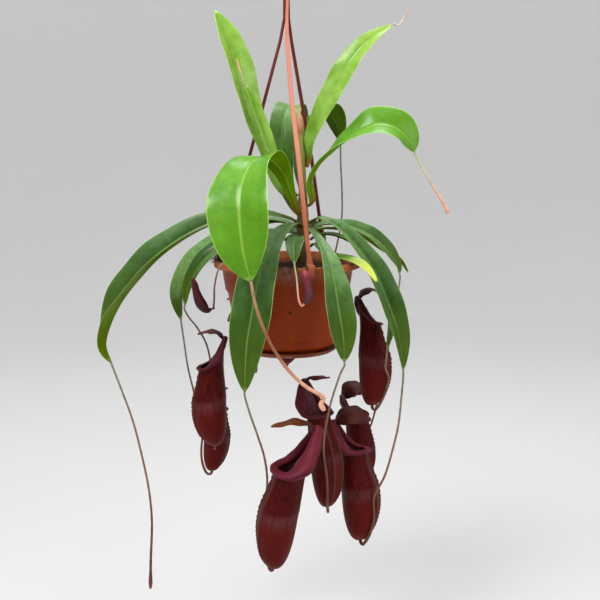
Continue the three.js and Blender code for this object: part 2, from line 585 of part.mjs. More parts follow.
function buildCup(cup) {
  const angles = Array.from({ length: cup.sides }, (_, j) => (2 * Math.PI * j) / cup.sides);
  const rings = CUP_ROWS.map((s) => angles.map((phi) => cupPoint(cup, s, phi, 0)));
  const rim = rings.at(-1);
  const { axis } = cupFrame(cup);
  const middle = rim.reduce((sum, p) => sum.add(p), new THREE.Vector3()).divideScalar(rim.length);
  LIP_OUTLINE.forEach(([out, up], row) => {
    rings.push(rim.map((p, j) => {
      const before = rim[(j + rim.length - 1) % rim.length];
      const alongRim = rim[(j + 1) % rim.length].clone().sub(before).normalize();
      const radial = p.clone().sub(middle);
      radial.addScaledVector(axis, -radial.dot(axis)).normalize();
      const rise = radial.clone().cross(alongRim).normalize();
      if (rise.dot(axis) < 0) rise.negate();
      const spread = alongRim.clone().cross(rise).normalize();
      if (spread.dot(radial) < 0) spread.negate();
      const back = (1 - Math.cos(angles[j])) / 2;
      const width = cup.flare * (0.65 + 0.8 * Math.sin(Math.PI * back ** 1.6));
      const rib = row === 1 || row === 2 ? (j % 2 ? RIB : -RIB) * width : 0;
      return p.clone().addScaledVector(spread, out * width - (out < 0 ? CUP_WALL * 0.5 : 0))
        .addScaledVector(rise, up * width + rib);
    }));
  });
  INNER_ROWS.forEach((s) => rings.push(angles.map((phi) => cupPoint(cup, s, phi, CUP_WALL))));
  return skin(rings, fanCap);
}

function buildLid(cup) {
  const [length, half, arch, tip] = cup.lid;
  const { face } = cupFrame(cup);
  const start = cupPoint(cup, 1, Math.PI, CUP_WALL / 2);
  const step = (share, up) => start.clone().addScaledVector(face, share * length)
    .add(new THREE.Vector3(0, 0, up * length));
  const curve = route([step(0, -0.1), step(0.08, 0.03), step(0.35, arch), step(0.7, mix(arch, tip, 0.3)),
    step(1, tip)]);
  const rings = [0, 0.12, 0.3, 0.5, 0.72, 0.9, 1].map((t) => {
    const tangent = curve.getTangentAt(t);
    const side = tangent.clone().cross(new THREE.Vector3(0, 0, 1)).normalize();
    side.applyAxisAngle(tangent, THREE.MathUtils.degToRad(cup.roll ?? 0));
    const normal = side.clone().cross(tangent);
    const width = 1.3 + half * Math.sin(Math.PI * t ** 0.9) ** 0.7;
    const point = (q, drop) => curve.getPointAt(t).addScaledVector(side, q * width)
      .addScaledVector(normal, 0.16 * width * (1 - Math.abs(q)) - drop);
    return [...[-1, 0, 1].map((q) => point(q, 0)), ...[1, 0, -1].map((q) => point(q, 1))];
  });
  return skin(rings, stripCap, (j) => j >= 3);
}

const buildPitcher = (cup) => union([buildCup(cup), buildLid(cup)]);

// Young pitchers, still closed: radii from foot to lid.
const YOUNG = {
  front: { leaf: 'front_short', points: [[16, -83, -30], [19, -83, -27], [20, -82, -20], [18.5, -81, -12],
    [17, -80, -5], [15, -80, -1]], radii: [1.1, 3.6, 4.2, 3.3, 4.0, 5.0, 2.2] },
  left: { leaf: 'left_short', points: [[-70, -46, -41], [-74, -46, -42], [-80, -45, -36], [-84, -44, -26],
    [-86, -44, -17], [-88, -44, -12]], radii: [1.2, 4.4, 5.4, 4.6, 3.6, 3.2, 1.4] },
};

function buildYoung({ points, radii }) {
  const radius = (t) => {
    const place = Math.min(t, 0.9999) * (radii.length - 1);
    const i = Math.floor(place);
    return mix(radii[i], radii[i + 1], place - i);
  };
  return shoot(points.map(vec), radius, 8, 9);
}

// ---------------------------------------------------------------- tendrils

const TENDRIL_CLEAR = 1;
const TENDRIL_STEP = 17.8;      // between the rings of a tendril

// Points from the leaf's tip to the pitcher's wall, or to the tendril's own end, with both radii.
const TENDRILS = {
  young: { leaf: 'young', points: [[-41, -23, 172], [-44, -22, 180], [-46, -21, 187]], thick: [0.9, 0.7] },
  upper_right: { leaf: 'upper_right', points: [[103, 0, 219], [109, 1, 225], [113, 1, 235]],
    thick: [0.9, 0.7] },
  right_arch: { leaf: 'right_arch', points: [[127, -32, 85], [138, -39, 66], [145, -43, 54], [148, -44, 48]],
    thick: [1, 1.5] },
  front_left_bright: { leaf: 'front_left_bright', points: [[-28, -102, -23], [-21, -102, -46],
    [-11, -100, -68], [3, -96, -89], [18, -92, -104], [29, -90, -111], [34, -88, -115], [31, -87, -121],
    [34, -87, -127]], thick: [1.4, 2] },
  far_left: { leaf: 'far_left', points: [[-162, -14, -125], [-152, -12, -157], [-144, -10, -194],
    [-138, -9, -230], [-136, -8, -262], [-138, -8, -304], [-139, -8, -334]], thick: [1, 1.5] },
  left_outer: { leaf: 'left_outer', cup: 'left_back', beside: 150, top: 0.6,
    points: [[-103, 9, -79], [-100, 16, -110], [-95, 32, -145]], thick: [0.9, 1.4] },
  left_inner: { leaf: 'left_inner', cup: 'left', beside: -85, top: 0.6,
    points: [[-95, -12, -55], [-89, 4, -68], [-81, 17, -88], [-77, 19, -112]], thick: [0.9, 1.4] },
  front_left_dark: { leaf: 'front_left_dark', cup: 'front', beside: -58, top: 0.48,
    points: [[-34, -79, -131], [-27, -70, -156], [-21, -59, -182], [-19, -53, -207]], thick: [1, 1.7] },
  front_right_dark: { leaf: 'front_right_dark', cup: 'middle', beside: -53, top: 0.66,
    points: [[48.7, -81, -94], [45.7, -78, -104], [42, -72, -118], [38, -65, -137]], thick: [1, 1.5] },
  right_long: { leaf: 'right_long', cup: 'right', beside: -42, top: 0.5,
    points: [[110, -24, -129], [107, -27, -158], [101, -33, -182], [94, -35, -206]], thick: [1, 1.7] },
  right_upper: { leaf: 'right_upper', cup: 'right_back', beside: 60, top: 0.6,
    points: [[111, 38, -38], [107, 46, -72], [101, 56, -113], [95, 62, -150], [88, 62, -180]],
    thick: [0.9, 1.4] },
  right_hanging: { leaf: 'right_hanging', cup: 'upper_right', beside: -52, top: 0.34,
    points: [[96, -12, -94], [95, -13, -104]], thick: [1, 1.6] },
  back_centre: { leaf: 'back_centre', cup: 'back_left', beside: -60, top: 0.6, points: [[17, 122, 78],
    [12, 126, 40], [-3, 126, -16], [-18, 120, -60], [-28, 112, -86]], thick: [0.9, 1.4] },
  back_right: { leaf: 'back_right', cup: 'back_right', beside: 0, top: 0.6, points: [[54, 84, 90],
    [56, 92, 57], [56, 110, 26], [46, 120, -24], [32, 118, -66]], thick: [0.9, 1.4] },
  front_short: { leaf: 'front_short', young: 'front', points: [[9, -80, -7], [10, -85, -18], [11, -86, -26],
    [13, -85, -31]], thick: [0.8, 1] },
  left_short: { leaf: 'left_short', young: 'left', points: [[-62, -56, -2], [-66, -56, -17], [-67, -53, -32],
    [-68, -48, -39]], thick: [0.8, 1] },
};

// The tendril comes down beside the wall and turns up into the foot. beside: where round the wall,
// degrees from the front; top: how far up the wall it starts to follow it.
function approach(cup, beside, top, thick) {
  const phi = THREE.MathUtils.degToRad(beside);
  const { foot, axis } = cupFrame(cup);
  const wall = [top, top * 0.55, 0.16, 0.05].map((s) => cupPoint(cup, s, phi, -thick - TENDRIL_CLEAR));
  const away = wall[3].clone().sub(foot);
  away.addScaledVector(axis, -away.dot(axis)).normalize();
  const under = (out, down) => foot.clone().addScaledVector(away, out).addScaledVector(axis, -down);
  return [...wall, under(6, 2), under(2.6, 4.6), under(0, 2.6), under(0, SEAT_GAP)];
}

function buildTendril(tendril) {
  const spine = leafSpine(LEAVES[tendril.leaf]);
  const heading = spine.getTangentAt(1);
  const start = spine.getPointAt(1).addScaledVector(heading, SEAT_GAP);
  const points = [start, start.clone().addScaledVector(heading, 3), ...tendril.points.map(vec)];
  const [from, to] = tendril.thick;
  if (tendril.cup) points.push(...approach(PITCHERS[tendril.cup], tendril.beside, tendril.top, to));
  if (tendril.young) {
    const ends = YOUNG[tendril.young].points.map(vec);
    const into = ends[1].clone().sub(ends[0]).normalize();
    points.push(...[-2.5, -SEAT_GAP].map((step) => ends[0].clone().addScaledVector(into, step)));
  }
  const bud = !tendril.cup && !tendril.young && to > from;
  const swelling = (t) => (bud && t > 0.93 ? 0.6 * (1 - ((t - 0.965) / 0.035) ** 2) : 0);
  const radius = (t) => mix(from, to, t ** 3) + swelling(t);
  const curve = route(points);
  const stations = Math.max(6, Math.round(curve.getLength() / TENDRIL_STEP) + (tendril.cup ? 5 : 2));
  return shoot(points, radius, 5, stations);
}

// ---------------------------------------------------------------- materials and scene graph

const MATERIALS = {
  pot: new THREE.MeshStandardMaterial({ color: 0xb4582c, roughness: 0.5, metalness: 0 }),
  mix: new THREE.MeshStandardMaterial({ color: 0x3a281d, roughness: 0.95, metalness: 0 }),
  hanger: new THREE.MeshStandardMaterial({ color: 0xb9624c, roughness: 0.5, metalness: 0 }),
  stem: new THREE.MeshStandardMaterial({ color: 0x7d7a3a, roughness: 0.7, metalness: 0 }),
  bright: new THREE.MeshStandardMaterial({ color: 0x7cbf2e, roughness: 0.35, metalness: 0 }),
  dark: new THREE.MeshStandardMaterial({ color: 0x2f6a2a, roughness: 0.4, metalness: 0 }),
  tendril: new THREE.MeshStandardMaterial({ color: 0x94705a, roughness: 0.6, metalness: 0 }),
  pitcher: new THREE.MeshStandardMaterial({ color: 0x4a0f16, roughness: 0.45, metalness: 0 }),
};
const BRIGHT_LEAVES = [
  'upper_left', 'young', 'upper_right', 'right_arch', 'front_left_bright', 'right_short', 'right_back_lime',
];

const plant = new THREE.Group();
plant.position.z = -RIM_DROP;

function place(name, geometry, material) {
  const flat = geometry.index ? geometry.toNonIndexed() : geometry.clone();
  flat.computeVertexNormals();
  const mesh = new THREE.Mesh(flat, MATERIALS[material].clone());
  mesh.name = name;
  plant.add(mesh);
}

place('pot', buildPot(), 'pot');
place('saucer', buildSaucer(), 'pot');
place('potting_mix', buildMix(), 'mix');
place('hanger_hook', buildHook(), 'hanger');
Object.entries(STRANDS).forEach(([name, strand]) => {
  place(`hanger_strand_${name}`, buildStrand(strand), 'hanger');
});
place('stem', buildStem(), 'stem');
Object.entries(LEAVES).forEach(([name, leaf]) => place(`leaf_${name}`, buildLeaf(leaf),
  BRIGHT_LEAVES.includes(name) ? 'bright' : 'dark'));
Object.entries(TENDRILS).forEach(([name, tendril]) => {
  place(`tendril_${name}`, buildTendril(tendril), 'tendril');
});
Object.entries(PITCHERS).forEach(([name, cup]) => place(`pitcher_${name}`, buildPitcher(cup), 'pitcher'));
Object.entries(YOUNG).forEach(([name, young]) => {
  place(`pitcher_young_${name}`, buildYoung(young), 'pitcher');
});

const model = new THREE.Group();
model.add(plant);
export default model;
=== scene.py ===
"""Looks of the hanging pitcher plant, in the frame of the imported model: the origin is the hook's seat."""
from bisect import bisect_left
from functools import partial
import math
import random

import bpy
from mathutils import Matrix, Vector, noise


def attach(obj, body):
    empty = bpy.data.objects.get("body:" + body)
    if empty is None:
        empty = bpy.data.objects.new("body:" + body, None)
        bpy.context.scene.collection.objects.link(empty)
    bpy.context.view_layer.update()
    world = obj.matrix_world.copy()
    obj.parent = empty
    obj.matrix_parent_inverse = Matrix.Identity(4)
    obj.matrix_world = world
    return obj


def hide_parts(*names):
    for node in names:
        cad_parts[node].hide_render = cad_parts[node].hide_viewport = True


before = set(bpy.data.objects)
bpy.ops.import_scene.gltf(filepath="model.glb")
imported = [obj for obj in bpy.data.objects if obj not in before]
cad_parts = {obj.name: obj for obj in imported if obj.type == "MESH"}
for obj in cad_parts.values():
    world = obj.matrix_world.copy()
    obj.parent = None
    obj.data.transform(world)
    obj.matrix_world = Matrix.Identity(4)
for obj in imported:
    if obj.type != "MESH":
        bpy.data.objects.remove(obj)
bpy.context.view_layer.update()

MM = 0.001
RIM_DROP = 310  # hook seat down to the pot's rim; the lists below stand on the rim's centre
RIM_HEIGHT = -RIM_DROP * MM  # of the pot's rim, in metres
SEAT_GAP = 0.3  # between pieces that touch

# Pot, saucer and mix, in millimetres. The other drops are measured from the rim.
RIM_RADIUS = 71
POT_HEIGHT = 82.5
POT_BASE_RADIUS = 47
WALL = 1.6
LIP_DROP = 6.5
LIP_OVERHANG = 6.5
BAND_DROP = 29.5
BAND_STEP = 1.6
FOOT_RING_RADIUS = 38
FOOT_RING_DROP = 4.2  # below the pot's base
POST_RADIUS = 5
POST_HEAD = 7.5
SAUCER_RADIUS = 49.5
MIX_DROP = 10
STEM_X = 15

# Hanger
HUB_HEIGHT = 252
HUB_RADIUS = 4.6
HOOK_RADIUS = 13
HOOK_FLAT = 5
HOOK_SECTION = 5
STRAND_WIDTH = 4.2
STRAND_DEPTH = 2.4
CLIP_WIDTH = 1.7  # of a strand's width
SLIM_STRAND = 0.75  # width of the strands behind, of the front one's

# Leaves
BLADE = 0.8  # thickness
FOOT_HALF = 3.0  # half width at the stem
TIP_HALF = 1.1
KEEL = 1.3  # depth of the midrib's keel at the foot
KEEL_HALF = 0.12  # share of the blade's half width, as the groove's
GROOVE = 0.35  # depth of the groove over the midrib
GROOVE_HALF = 0.07
MARGIN_WAVE = 0.035  # share of the half width
MARGIN_WAVES = 5  # from foot to tip

# Pitchers
CUP_WALL = 1.0
CUP_FOOT_RADIUS = 1.9
CUP_SIDE = 0.92  # radius at the sides, as a share of the front's
CUP_BOW = 0.05  # of the axis, as a share of the height
HIP = 0.56  # where the wall narrows, as a share of the height
NECK_LEAN = 0.08  # share of the neck's rise
NECK_POWER = 2.3  # a narrower neck has a higher power
WING_ANGLE = 0.42  # of each wing from the front, in radians
WING_HEIGHT = 2.5

# Tendrils
TENDRIL_CLEAR = 1  # between a tendril and the wall that it follows
BUD_PLACE = 0.965  # where the bud is thickest, as a share of the tendril's length
BUD_HALF = 0.035  # half of the bud's length, as a share too
BUD_SWELL = 0.6

# In millimetres over the rim's centre. at: [degrees round the stem, height] of the foot; lead: how far out
# and up the next point lies; spine: the points after it; up: where the upper face looks, from foot to tip;
# half: half width; foot: half width at the stem; peak: share of the length where it is widest; fold: rise of
# the margins, as a share of the half width.
LEAVES = {
  "upper_left": {"at": [186, 52], "half": 16.5, "peak": 0.72, "fold": 0.55,
    "spine": [[-9, -5, 72], [-21, -8, 100], [-31, -10, 124], [-40, -11, 152], [-48, -11, 179], [-57, -9, 206],
      [-67, -4, 232]],
    "up": [[-1, -0.3, 0.3], [0.7, -0.9, 0.4], [0.9, -0.8, 0.4], [0.9, -0.9, 0.3]]},
  "young": {"at": [212, 62], "half": 6, "peak": 0.62, "fold": 1.1,
    "spine": [[-6, -14, 80], [-17, -19, 104], [-26, -21, 130], [-33, -22, 150], [-38, -22, 163]],
    "up": [[0.9, 0.4, 0.4], [0.6, -1, 0.5], [0.6, -1, 0.4]]},
  "upper_right": {"at": [10, 88], "lead": [2.4, 7], "half": 12.5, "peak": 0.55, "fold": 0.3,
    "spine": [[21.5, -2, 112], [32, -8, 137], [46, -11, 163], [60, -11, 187], [77, -8, 206], [97, -2, 219]],
    "up": [[-0.7, -0.7, 0.3], [-0.6, -0.9, 0.5], [-0.3, -0.8, 0.7], [-0.1, -0.8, 0.7]]},
  "right_arch": {"at": [322, 52], "lead": [6, 3.4], "foot": 4.8, "half": 20, "peak": 0.78, "fold": 0.35,
    "spine": [[22, -13, 75], [29, -18, 91], [42, -24, 104], [56, -28, 115], [83, -32, 128], [101, -31, 124],
      [112, -28, 114], [118, -26, 103]],
    "up": [[-0.5, 0.3, 0.7], [-0.5, 0, 0.9], [0, -0.7, 1], [0.6, -0.9, 0.6]]},
  "back_centre": {"at": [128, 44], "half": 13.5, "peak": 0.5, "fold": 0.25,
    "spine": [[-3, 12, 75], [-6, 16, 106], [-4, 27, 131], [1, 44, 144], [7, 72, 145], [13, 98, 128],
      [17, 114, 100]],
    "up": [[0.4, -1, 0.2], [0.2, -1, 0.1], [0, -0.3, 1], [0, 0.8, 0.6]]},
  "back_right": {"at": [84, 56], "half": 14, "peak": 0.72, "fold": 0.3,
    "spine": [[11, 23, 84], [15, 44, 112], [26, 57, 132], [38, 67, 142], [46, 75, 136], [51, 79, 124],
      [53, 80, 112]],
    "up": [[-0.5, -0.7, 0.3], [-0.5, -0.5, 0.7], [0, 0.2, 1], [0.3, 0.9, 0.2]]},
  "front_left_bright": {"at": [238, 44], "half": 28, "peak": 0.7, "fold": 0.22,
    "spine": [[4, -13, 62], [-4, -24, 84], [-16, -42, 98], [-29, -60, 96], [-37, -76, 83], [-41, -89, 62],
      [-40, -97, 39], [-37, -101, 17], [-31, -101, -7]],
    "up": [[-0.4, 0.6, 0.8], [-0.3, 0.3, 1], [-0.5, -0.9, 0.7], [-0.2, -1, 0.2], [0.1, -1, -0.1]]},
  "far_left": {"at": [196, 36], "half": 17, "peak": 0.66, "fold": 0.8,
    "spine": [[-16, -10, 44], [-47, -14, 43], [-75, -16, 34], [-99, -17, 21], [-122, -18, 4],
      [-140, -18, -15], [-157, -17, -36], [-170, -16, -60], [-176, -15, -82], [-171, -14, -99]],
    "up": [[0, -0.5, 1], [-0.3, -0.7, 1], [-0.8, -0.6, 0.7], [-0.9, -0.4, 0.3], [-0.9, 0.15, 0]]},
  "left_outer": {"at": [140, 30], "half": 15, "peak": 0.66, "fold": 0.45,
    "spine": [[-14, 27, 35], [-43, 49, 27], [-70, 54, 12], [-90, 47, -3], [-102, 34, -20], [-107, 20, -40],
      [-105, 9, -61]],
    "up": [[0, 0.1, 1], [-0.4, -0.1, 1], [-0.8, -0.5, 0.5], [-0.6, -0.8, 0.1]]},
  "left_inner": {"at": [192, 24], "half": 9, "peak": 0.6, "fold": 0.4,
    "spine": [[-18, -12, 27], [-49, -19, 20], [-71, -22, 9], [-85, -22, -6], [-94, -20, -23],
      [-98, -18, -42]],
    "up": [[0, -0.2, 1], [-0.3, -0.5, 1], [-0.7, -0.8, 0.5], [-0.6, -1, 0.1]]},
  "front_left_dark": {"at": [247, 32], "half": 18.5, "peak": 0.6, "fold": 0.3,
    "spine": [[4, -25, 36], [-8, -46, 27], [-18, -66, 12], [-26, -80, -13], [-31, -87, -40], [-35, -88, -62],
      [-37, -87, -84], [-38, -84, -110]],
    "up": [[-0.1, -0.3, 1], [-0.4, -0.6, 0.8], [-0.3, -1, 0.3], [-0.1, -1, 0], [0, -1, -0.1]]},
  "front_right_dark": {"at": [293, 28], "half": 14, "peak": 0.71, "fold": 0.35,
    "spine": [[23, -24, 30], [31, -42, 21], [38, -61, 8], [43, -76, -12], [46, -83, -31], [49, -86, -48],
      [51, -86, -62], [52, -85, -82]],
    "up": [[0.1, -0.3, 1], [0.5, -0.6, 0.7], [0.4, -0.9, 0.3], [0.2, -1, 0]]},
  "right_long": {"at": [326, 36], "half": 13.5, "peak": 0.6, "fold": 0.55,
    "spine": [[30, -10, 41], [44, -13, 35], [58, -18, 23], [72, -22, 6], [84, -25, -13], [95, -26, -38],
      [104, -26, -63], [109, -25, -86], [111, -24, -104]],
    "up": [[0, -0.2, 1], [0.3, -0.6, 0.8], [0.6, -0.9, 0.3], [0.7, -0.9, 0.1]]},
  "right_upper": {"at": [12, 27], "half": 10, "peak": 0.6, "fold": 0.35,
    "spine": [[30, 4, 33], [42, 8, 34], [54, 14, 32], [67, 20, 28], [80, 26, 21.5], [92.5, 31, 12],
      [103, 34, 0.5], [110.5, 36, -11], [112, 36, -19]],
    "up": [[0, 0, 1], [0.2, -0.5, 1], [0.5, -0.8, 0.8], [0.8, -0.8, 0.3]]},
  "right_short": {"at": [334, 13], "half": 7, "peak": 0.55, "fold": 0.35,
    "spine": [[35, -18, 9], [49, -30, 4.5], [60, -38, 3.4], [73, -45, -3], [83, -48, -15]],
    "up": [[0, 0, 1], [0.2, -0.3, 1], [0.6, -0.8, 0.7]]},
  "right_hanging": {"at": [16, 19], "half": 10, "peak": 0.66, "fold": 0.35,
    "spine": [[41, 7, 24], [63, 8, 15], [80, 5, -4], [93, -1, -30], [99, -6, -57], [97, -8, -86]],
    "up": [[0, 0, 1], [0.5, -0.3, 0.9], [0.9, -0.5, 0.3], [0.8, -0.7, 0]]},
  "front_short": {"at": [268, 20], "half": 8.5, "peak": 0.6, "fold": 0.35,
    "spine": [[12, -22, 24], [9, -40, 24], [6.5, -58, 18], [7, -73, 6]],
    "up": [[0, -0.1, 1], [0, -0.4, 1], [0, -0.8, 0.6]]},
  "back_left": {"at": [130, 22], "half": 8, "peak": 0.6, "fold": 0.3,
    "spine": [[-3, 30, 33], [-23, 60, 29], [-40, 85, 17], [-48, 100, -3]],
    "up": [[0, 0, 1], [-0.2, 0.3, 1], [-0.5, 0.8, 0.4]]},
  "back_far_right": {"at": [84, 28], "half": 8, "peak": 0.6, "fold": 0.3,
    "spine": [[18, 31, 34], [24, 60, 29], [32, 84, 12], [36, 98, -10]],
    "up": [[0, 0, 1], [0.2, 0.4, 1], [0.4, 0.9, 0.3]]},
  "right_back_lime": {"at": [46, 24], "half": 7.5, "peak": 0.66, "fold": 0.3,
    "spine": [[41, 26, 28], [68, 42, 21], [95, 57, 3], [114, 65, -9], [124, 68, -22]],
    "up": [[0, 0, 1], [0.2, 0.2, 1], [0.9, 0.4, 0.4]]},
  "left_short": {"at": [214, 17], "half": 6, "peak": 0.6, "fold": 0.35,
    "spine": [[-16, -24, 20], [-39, -42, 15], [-54, -52, 6]],
    "up": [[0, 0, 1], [-0.4, -0.4, 1], [-0.7, -0.7, 0.6]]},
}

# foot: where the tendril enters; mouth: middle of the lip; face: degrees that it looks in; width: radius of
# the belly; throat: radius of the mouth; rise: height of the neck; neck: how narrow it is; flare: width of
# the lip; lid: [length, half width, arch, rise of its tip]; roll: the lid's tilt.
PITCHERS = {
  "left": {"foot": [-73, 2, -187], "mouth": [-73, -2, -107], "face": 177, "width": 16.5,
    "throat": 13.5, "rise": 31, "flare": 4, "lid": [26, 9, 0.22, 0.12]},
  "left_back": {"foot": [-79, 34, -224], "mouth": [-74, 34, -158], "face": 40, "width": 13,
    "throat": 10.5, "rise": 17, "flare": 3.5, "lid": [22, 8, 0.15, 0.1]},
  "front": {"foot": [-13.5, -64, -287], "mouth": [6, -73, -189], "face": 186, "width": 18.5,
    "throat": 16, "rise": 46, "neck": 2.7, "flare": 8.6, "lid": [42, 10, 0.15, 0.06]},
  "middle": {"foot": [38.5, -36, -237], "mouth": [28, -30, -146], "face": -40, "width": 15.5,
    "throat": 12.5, "rise": 33, "neck": 3.6, "flare": 5.5, "lid": [30, 8, 0.14, 0.24]},
  "right": {"foot": [72, -16, -279], "mouth": [62.5, -7, -190], "face": -12, "width": 18.5,
    "throat": 15, "rise": 31, "neck": 3.4, "flare": 5.6, "lid": [34, 12, 0.2, 0.25], "roll": 30},
  "upper_right": {"foot": [84, 9, -148], "mouth": [80, 15, -67], "face": 12, "width": 15.5,
    "throat": 11.5, "rise": 28, "flare": 4, "lid": [26, 11, 0.26, 0.04]},
  "right_back": {"foot": [74, 42, -240], "mouth": [69, 41, -172], "face": 8, "width": 14,
    "throat": 13, "rise": 27, "neck": 3.2, "flare": 4.5, "lid": [24, 11, 0.3, 0.35], "roll": 30},
  "back_left": {"foot": [-38, 92, -130], "mouth": [-52, 96, -76], "face": 120, "width": 12,
    "throat": 10, "rise": 17, "flare": 3.5, "lid": [21, 8, 0.15, 0.1]},
  "back_right": {"foot": [-4, 92, -124], "mouth": [12, 98, -70], "face": 60, "width": 12,
    "throat": 10, "rise": 17, "flare": 3.5, "lid": [21, 8, 0.15, 0.1]},
}

YOUNG = {
  "front": {"points": [[16, -83, -30], [19, -83, -27], [20, -82, -20], [18.5, -81, -12],
    [17, -80, -5], [15, -80, -1]], "radii": [1.1, 3.6, 4.2, 3.3, 4.0, 5.0, 2.2],
    "look": "young_pitcher_pink"},
  "left": {"points": [[-70, -46, -41], [-74, -46, -42], [-80, -45, -36], [-84, -44, -26],
    [-86, -44, -17], [-88, -44, -12]], "radii": [1.2, 4.4, 5.4, 4.6, 3.6, 3.2, 1.4],
    "look": "young_pitcher_dark"},
}

# cup or young: the pitcher that it ends in; beside: where round the wall it comes down, degrees from the
# front; top: how far up the wall it starts to follow; thick: radius at its start and end.
TENDRILS = {
  "young": {"points": [[-41, -23, 172], [-44, -22, 180], [-46, -21, 187]], "thick": [0.9, 0.7]},
  "upper_right": {"points": [[103, 0, 219], [109, 1, 225], [113, 1, 235]], "thick": [0.9, 0.7]},
  "right_arch": {"points": [[127, -32, 85], [138, -39, 66], [145, -43, 54], [148, -44, 48]],
    "thick": [1, 1.5]},
  "front_left_bright": {"points": [[-28, -102, -23], [-21, -102, -46],
    [-11, -100, -68], [3, -96, -89], [18, -92, -104], [29, -90, -111], [34, -88, -115], [31, -87, -121],
    [34, -87, -127]], "thick": [1.4, 2]},
  "far_left": {"points": [[-162, -14, -125], [-152, -12, -157], [-144, -10, -194],
    [-138, -9, -230], [-136, -8, -262], [-138, -8, -304], [-139, -8, -334]], "thick": [1, 1.5]},
  "left_outer": {"cup": "left_back", "beside": 150, "top": 0.6,
    "points": [[-103, 9, -79], [-100, 16, -110], [-95, 32, -145]], "thick": [0.9, 1.4]},
  "left_inner": {"cup": "left", "beside": -85, "top": 0.6,
    "points": [[-95, -12, -55], [-89, 4, -68], [-81, 17, -88], [-77, 19, -112]], "thick": [0.9, 1.4]},
  "front_left_dark": {"cup": "front", "beside": -58, "top": 0.48,
    "points": [[-34, -79, -131], [-27, -70, -156], [-21, -59, -182], [-19, -53, -207]], "thick": [1, 1.7]},
  "front_right_dark": {"cup": "middle", "beside": -53, "top": 0.66,
    "points": [[48.7, -81, -94], [45.7, -78, -104], [42, -72, -118], [38, -65, -137]], "thick": [1, 1.5]},
  "right_long": {"cup": "right", "beside": -42, "top": 0.5,
    "points": [[110, -24, -129], [107, -27, -158], [101, -33, -182], [94, -35, -206]], "thick": [1, 1.7]},
  "right_upper": {"cup": "right_back", "beside": 60, "top": 0.6,
    "points": [[111, 38, -38], [107, 46, -72], [101, 56, -113], [95, 62, -150], [88, 62, -180]],
    "thick": [0.9, 1.4]},
  "right_hanging": {"cup": "upper_right", "beside": -52, "top": 0.34,
    "points": [[96, -12, -94], [95, -13, -104]], "thick": [1, 1.6]},
  "back_centre": {"cup": "back_left", "beside": -60, "top": 0.6, "points": [[17, 122, 78],
    [12, 126, 40], [-3, 126, -16], [-18, 120, -60], [-28, 112, -86]], "thick": [0.9, 1.4]},
  "back_right": {"cup": "back_right", "beside": 0, "top": 0.6, "points": [[54, 84, 90],
    [56, 92, 57], [56, 110, 26], [46, 120, -24], [32, 118, -66]], "thick": [0.9, 1.4]},
  "front_short": {"young": "front", "points": [[9, -80, -7], [10, -85, -18], [11, -86, -26],
    [13, -85, -31]], "thick": [0.8, 1]},
  "left_short": {"young": "left", "points": [[-62, -56, -2], [-66, -56, -17], [-67, -53, -32],
    [-68, -48, -39]], "thick": [0.8, 1]},
}

STEM_POINTS = [
  [15, 0, -26], [15, 0, 0], [15, 0, 40], [14.5, 1, 72], [13.5, 2, 100], [13, 3, 122],
]
STEM_RADII = [6.6, 6.4, 5.8, 4.2, 3, 2.4]

# From the hub down: distance from the middle, height, share of the full width, share of the bow.
STRAND_LINE = [
  [2.6, HUB_HEIGHT - SEAT_GAP, 0.5, 0], [2.8, 226, 0.6, 0.3], [7.5, 205, 0.85, 0.7], [24.5, 152, 1, 1],
  [43.5, 94, 1, 0.75], [RIM_RADIUS - 6, 9, 1, 0],
]
STRANDS = {"front": [-72, -3.5], "left": [151, 0], "back": [57, 0]}

LIME_LEAVES = ("right_short", "right_back_lime")
UPRIGHT_LEAVES = ("upper_left", "young", "upper_right")
SHADED_LEAVES = ("back_centre", "back_right")
BRIGHT_LEAVES = UPRIGHT_LEAVES + ("right_arch", "front_left_bright") + LIME_LEAVES
CRIMSON_LIPS = ("front", "right")
TENDRIL_LOOKS = {"front_left_bright": "tendril_tan", "upper_right": "tendril_pink",
                 "right_arch": "tendril_pale", "young": "tendril_pale", "front_short": "tendril_pale"}


# ---------------- small helpers

def mix(a, b, t):
    return a + (b - a) * t


def clamp(x, low=0.0, high=1.0):
    return max(low, min(high, x))


def smooth(t):
    t = clamp(t)
    return t * t * (3 - 2 * t)


def bell(x, width):
    return math.exp(-((x / width) ** 2))


def turns(count):
    """Angles evenly round a circle, in radians."""
    return [2 * math.pi * j / count for j in range(count)]


def evenly(count):
    """Numbers from -1 to 1, with count steps on each side of 0."""
    return [i / count for i in range(-count, count + 1)]


def polar(degrees):
    angle = math.radians(degrees)
    return Vector((math.cos(angle), math.sin(angle), 0))


def upward(height):
    return Vector((0, 0, height))


def stations(values, t):
    """The two of a list's evenly spread values on either side of t, and the share of the way between them."""
    place = min(t, 0.9999) * (len(values) - 1)
    i = int(place)
    return values[i], values[i + 1], place - i


def number_at(values, t):
    return mix(*stations(values, t))


def vector_at(vectors, t):
    a, b, share = stations(vectors, t)
    return Vector(a).lerp(Vector(b), share)


